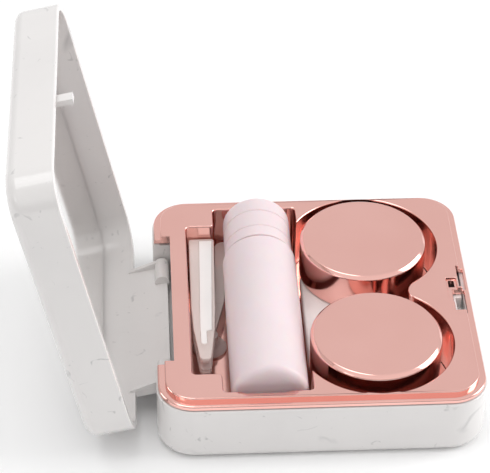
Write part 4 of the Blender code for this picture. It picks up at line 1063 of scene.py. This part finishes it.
# Shares of the length from the far end, then shares of the width to the left and right edge
TWEEZERS_OUTLINE = (
    (0.0, -0.50, 0.50), (0.585, -0.52, 0.40), (0.76, -0.47, 0.34),
    (0.98, -0.285, 0.16), (1.0, -0.21, 0.09),
)
ARM_CORNER = 0.7 * MM
ARM_EDGE = 0.22 * MM
CORE_START = 0.8 * MM
CORE_LENGTH = 30.0 * MM
CORE_TAIL_LENGTH = 4.5 * MM
CORE_TAIL_SHOULDER = 0.3 * MM
CORE_DEPTH = 0.4 * MM
CORE_RECESS_DEPTH = 0.6 * MM
CORE_RISE = 0.1 * MM
CORE_EDGE = 0.12 * MM
CORE_CLEARANCE = 0.04 * MM
PAD_CORNER = 0.6 * MM
PAD_EDGE = 0.1 * MM
HEAD_EDGE = 0.3 * MM
HEAD_GROOVES = (0.3, 0.5, 0.7)
HEAD_GROOVE_RADIUS = 0.4 * MM
HEAD_GROOVE_SHIFT = 0.25 * MM
WAND_HEAD_RADIUS = 2.0 * MM
WAND_WAIST = (-19.8 * MM, 8.0 * MM)
WAND_WAIST_RADIUS = 1.1 * MM
WAND_END_RADIUS = 1.0 * MM
WAND_BOSS_RADIUS = 1.8 * MM
WAND_EDGE = 0.3 * MM
NECK_INSET = 0.05 * MM
BOSS_INSET = 0.02 * MM
CORE_FAR_SIDES = (-0.5 * MM, 2.3 * MM)
CORE_NEAR_SIDES = (-1.2 * MM, 1.3 * MM)
CORE_TAIL_SIDES = (-1.15 * MM, 0.15 * MM)


def rounded_corners(points, radius):
    """A closed outline with each corner turned into an arc."""
    made = []
    for index, point in enumerate(points):
        here = Vector(point)
        back = Vector(points[index - 1]) - here
        ahead = Vector(points[(index + 1) % len(points)]) - here
        angle = back.angle(ahead)
        reach = min(radius / math.tan(angle / 2), 0.45 * back.length, 0.45 * ahead.length)
        first, last = here + back.normalized() * reach, here + ahead.normalized() * reach
        if math.degrees(math.pi - angle) < 12:
            made.append(tuple(here))
            continue
        for t in (0, 0.2, 0.4, 0.6, 0.8, 1):
            made.append(tuple((1 - t) ** 2 * first + 2 * t * (1 - t) * here + t**2 * last))
    return made


def arm_outline():
    """Outline of a tweezers arm, from its far end."""
    left = [(low * TWEEZERS_WIDTH, -along * TWEEZERS_LENGTH) for along, low, _ in TWEEZERS_OUTLINE]
    right = [(high * TWEEZERS_WIDTH, -along * TWEEZERS_LENGTH) for along, _, high in TWEEZERS_OUTLINE]
    return left + right[::-1]


def core_outline(clearance=0.0):
    """Outline of the stiff white core, with its narrow tail."""
    far = -CORE_START + clearance
    near = -CORE_START - CORE_LENGTH - clearance
    tail_low, tail_high = CORE_TAIL_SIDES[0] - clearance, CORE_TAIL_SIDES[1] + clearance
    radius = (tail_high - tail_low) / 2
    centre = ((tail_low + tail_high) / 2, near - CORE_TAIL_LENGTH + radius)
    return [
        (CORE_FAR_SIDES[1] + clearance, far), (CORE_FAR_SIDES[0] - clearance, far),
        (CORE_NEAR_SIDES[0] - clearance, near), (tail_low, near - CORE_TAIL_SHOULDER),
        *arc(centre, radius, 180, 360, 12), (tail_high, near - CORE_TAIL_SHOULDER),
        (CORE_NEAR_SIDES[1] + clearance, near),
    ]


def make_tweezers():
    """A head block and two arms, each with a core and a soft pad."""
    widest = [max(abs(edge[side]) for edge in TWEEZERS_OUTLINE) for side in (1, 2)]
    shift = (widest[0] - widest[1]) / 2 * TWEEZERS_WIDTH
    far = Matrix.Translation((ARM_MIDDLE.x + shift, ARM_HIGH.y, 0))
    for name, side in (("upper", 1), ("lower", -1)):
        low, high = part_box(f"tweezers_arm_{name}")
        thick = (high.z - low.z) / 2
        centre = far @ Matrix.Translation((0, 0, low.z + thick))
        outline = rounded_corners(arm_outline(), ARM_CORNER)
        arm = prism(outline, -thick, thick, ARM_EDGE, ARM_EDGE, 3)
        recess = sorted((side * (thick - CORE_RECESS_DEPTH), side * (thick + THROUGH)))
        arm = combined(arm, ("-", prism(core_outline(CORE_CLEARANCE), *recess)))
        body = f"tweezers_{name}"
        add(f"{body}_arm", arm, CLEAR, body, [f"tweezers_arm_{name}"], centre)
        core_low, core_high = sorted((side * (thick - CORE_DEPTH), side * (thick + CORE_RISE)))
        core = prism(core_outline(), core_low, core_high,
                     CORE_EDGE if side > 0 else 0, CORE_EDGE if side < 0 else 0, 3)
        add(f"{body}_core", core, WHITE, body, [f"tweezers_core_{name}"], centre)
        pad_low, pad_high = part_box(f"tweezers_pad_{name}")
        outline = rounded_rectangle(pad_low.xy, pad_high.xy, PAD_CORNER, 8)
        pad = prism(outline, pad_low.z, pad_high.z, PAD_EDGE, PAD_EDGE, 2)
        add(f"{body}_pad", pad, SILICONE, body, [f"tweezers_pad_{name}"])
    head_low, head_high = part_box("tweezers_head")
    head = block(head_low, head_high, HEAD_EDGE)
    grooves = []
    for share in HEAD_GROOVES:
        y = head_low.y + share * (head_high.y - head_low.y)
        for x, way in ((head_low.x, -1), (head_high.x, 1)):
            place = x + way * HEAD_GROOVE_SHIFT
            start, end = (place, y, head_low.z - SINK), (place, y, head_high.z + SINK)
            grooves.append(("-", rod(start, end, HEAD_GROOVE_RADIUS, 24)))
    add("tweezers_head_block", combined(head, *grooves), WHITE, "tweezers", ["tweezers_head"])


def make_remover():
    """The wand and its suction cup."""
    low, top = WAND_LOW.z, WAND_HIGH.z
    head = (WAND_HIGH.x - WAND_HEAD_RADIUS, WAND_HIGH.y - WAND_HEAD_RADIUS)
    cup = (CUP_MIDDLE.x, CUP_MIDDLE.y)
    outline = tapered_outline(head, WAND_HEAD_RADIUS, WAND_WAIST, WAND_WAIST_RADIUS)
    handle = prism(outline, low, top, WAND_EDGE, WAND_EDGE, 4)
    outline = tapered_outline(WAND_WAIST, WAND_WAIST_RADIUS - BOSS_INSET, cup, WAND_END_RADIUS)
    neck = prism(outline, low + NECK_INSET, top - NECK_INSET)
    boss = rod((*cup, low + BOSS_INSET), (*cup, top - BOSS_INSET), WAND_BOSS_RADIUS)
    wand = combined(handle, ("+", neck), ("+", boss))
    add("remover_handle", wand, CLEAR, "remover", ["remover_wand"])
    radius = (CUP_HIGH.x - CUP_LOW.x) / 2
    hub, foot = CUP_HIGH.z, CUP_LOW.z
    profile = [
        (0, hub), (1.5 * MM, hub), (1.7 * MM, hub - 0.15 * MM), (1.9 * MM, hub - 0.5 * MM),
        (2.4 * MM, hub - 0.95 * MM), (radius - 0.1 * MM, foot + 0.45 * MM),
        (radius, foot + 0.3 * MM), (radius, foot + 0.1 * MM),
        (radius - 0.2 * MM, foot), (radius - 0.5 * MM, foot), (0.6 * radius, foot + 0.55 * MM),
        (0, foot + 0.8 * MM),
    ]
    add("remover_suction_cup", turned(profile, 72), SILICONE, "remover", ["remover_cup"],
        Matrix.Translation((*cup, 0)))


# Kept CAD nodes

CAD_EDGE = 0.08 * MM


def finish_cad_node(node, look, width=CAD_EDGE):
    """Give a kept CAD node its material, small rounded edges and even shading."""
    kept = frame["nodes"][node]
    kept.data.materials.clear()
    kept.data.materials.append(look)
    kept.data.polygons.foreach_set("use_smooth", [True] * len(kept.data.polygons))
    weld = kept.modifiers.new("weld", "WELD")
    weld.merge_threshold = WELD
    if width:
        edge = kept.modifiers.new("edges", "BEVEL")
        edge.width = width
        edge.segments = 2
        edge.limit_method = "ANGLE"
        edge.angle_limit = math.radians(40)
    kept.modifiers.new("even_normals", "WEIGHTED_NORMAL")


make_base_casing()
make_tray()
make_lid()
for side, name in ((1, "right"), (-1, "left")):
    make_lens_cap(side, name)
make_lens_case()
make_bottle()
make_tweezers()
make_remover()
finish_cad_node("latch_button", WHITE)
finish_cad_node("hinge_pin_far", STEEL)
finish_cad_node("hinge_pin_near", STEEL)
finish_cad_node("latch_spring", STEEL, 0)


# Stage, light and camera

def make_floor():
    """A plain pale floor."""
    mesh = block((-3, -3, -0.02), (3, 3, 0))
    made, tree, shader, place = new_material("floor", Roughness=0.7)
    tone = ramp(tree, noise(tree, place, 3, 2), [(0.3, grey(0.93)), (0.7, grey(0.95))])
    tree.links.new(tone, shader.inputs["Base Color"])
    mesh.materials.append(made)
    floor = bpy.data.objects.new("floor", mesh)
    bpy.context.scene.collection.objects.link(floor)


def area_light(name, place, target, size, power):
    """A soft square light that faces a point."""
    lamp = bpy.data.lights.new(name, "AREA")
    lamp.size = size
    lamp.energy = power
    made = bpy.data.objects.new(name, lamp)
    made.location = place
    made.rotation_euler = (Vector(target) - Vector(place)).to_track_quat("-Z", "Y").to_euler()
    bpy.context.scene.collection.objects.link(made)


def make_world():
    """A white studio: brighter overhead, dark low down behind the viewer."""
    world = bpy.data.worlds.new("studio")
    world.use_nodes = True
    tree = world.node_tree
    background = tree.nodes["Background"]
    place = tree.nodes.new("ShaderNodeTexCoord").outputs["Generated"]
    split = tree.nodes.new("ShaderNodeSeparateXYZ")
    tree.links.new(place, split.inputs["Vector"])
    height = split.outputs["Z"]
    far = ramp(tree, height, [
        (0.0, grey(0.72)), (0.45, grey(0.76)), (0.72, grey(0.78)), (1.0, grey(0.85)),
    ])
    near = ramp(tree, height, [
        (0.0, grey(0.05)), (0.28, grey(0.10)), (0.40, grey(0.95)), (1.0, grey(0.85)),
    ])
    side = tree.nodes.new("ShaderNodeMapRange")
    side.interpolation_type = "SMOOTHSTEP"
    side.inputs["From Min"].default_value = -0.55
    side.inputs["From Max"].default_value = 0.05
    tree.links.new(split.outputs["Y"], side.inputs["Value"])
    tree.links.new(mix(tree, side.outputs["Result"], near, far), background.inputs["Color"])
    background.inputs["Strength"].default_value = 1.0
    bpy.context.scene.world = world


CAMERA_TARGET = Vector((-13.22 * MM, 26.51 * MM, 10.0 * MM))
CAMERA_DISTANCE = 488.5 * MM
CAMERA_YAW = math.radians(3.15)
CAMERA_PITCH = math.radians(38.64)
CAMERA_ROLL = math.radians(0.48)
CAMERA_LENS = 159.8


def make_camera():
    """The camera, at the photograph's viewing angle."""
    camera = bpy.data.cameras.new("camera")
    camera.lens = CAMERA_LENS
    camera.sensor_width = 36
    camera.clip_start = 0.01
    made = bpy.data.objects.new("camera", camera)
    turn = Matrix.Rotation(-CAMERA_YAW, 4, "Z") @ Matrix.Rotation(math.pi / 2 - CAMERA_PITCH, 4, "X")
    turn = turn @ Matrix.Rotation(CAMERA_ROLL, 4, "Z")
    back = Matrix.Translation((0, 0, CAMERA_DISTANCE))
    made.matrix_world = Matrix.Translation(CAMERA_TARGET) @ turn @ back
    bpy.context.scene.collection.objects.link(made)
    bpy.context.scene.camera = made


make_floor()
make_world()
make_camera()
area_light("softbox", (-0.32, 0.0, 1.16), (0, 0, 0), 0.62, 2.6)
area_light("fill", (1.1, 0.10, 0.62), (-0.02, 0, 0.02), 0.80, 7.5)
area_light("left_front", (-0.75, -0.65, 0.62), (-0.03, 0, 0.03), 0.30, 0.4)
bpy.context.scene.view_settings.view_transform = "Standard"
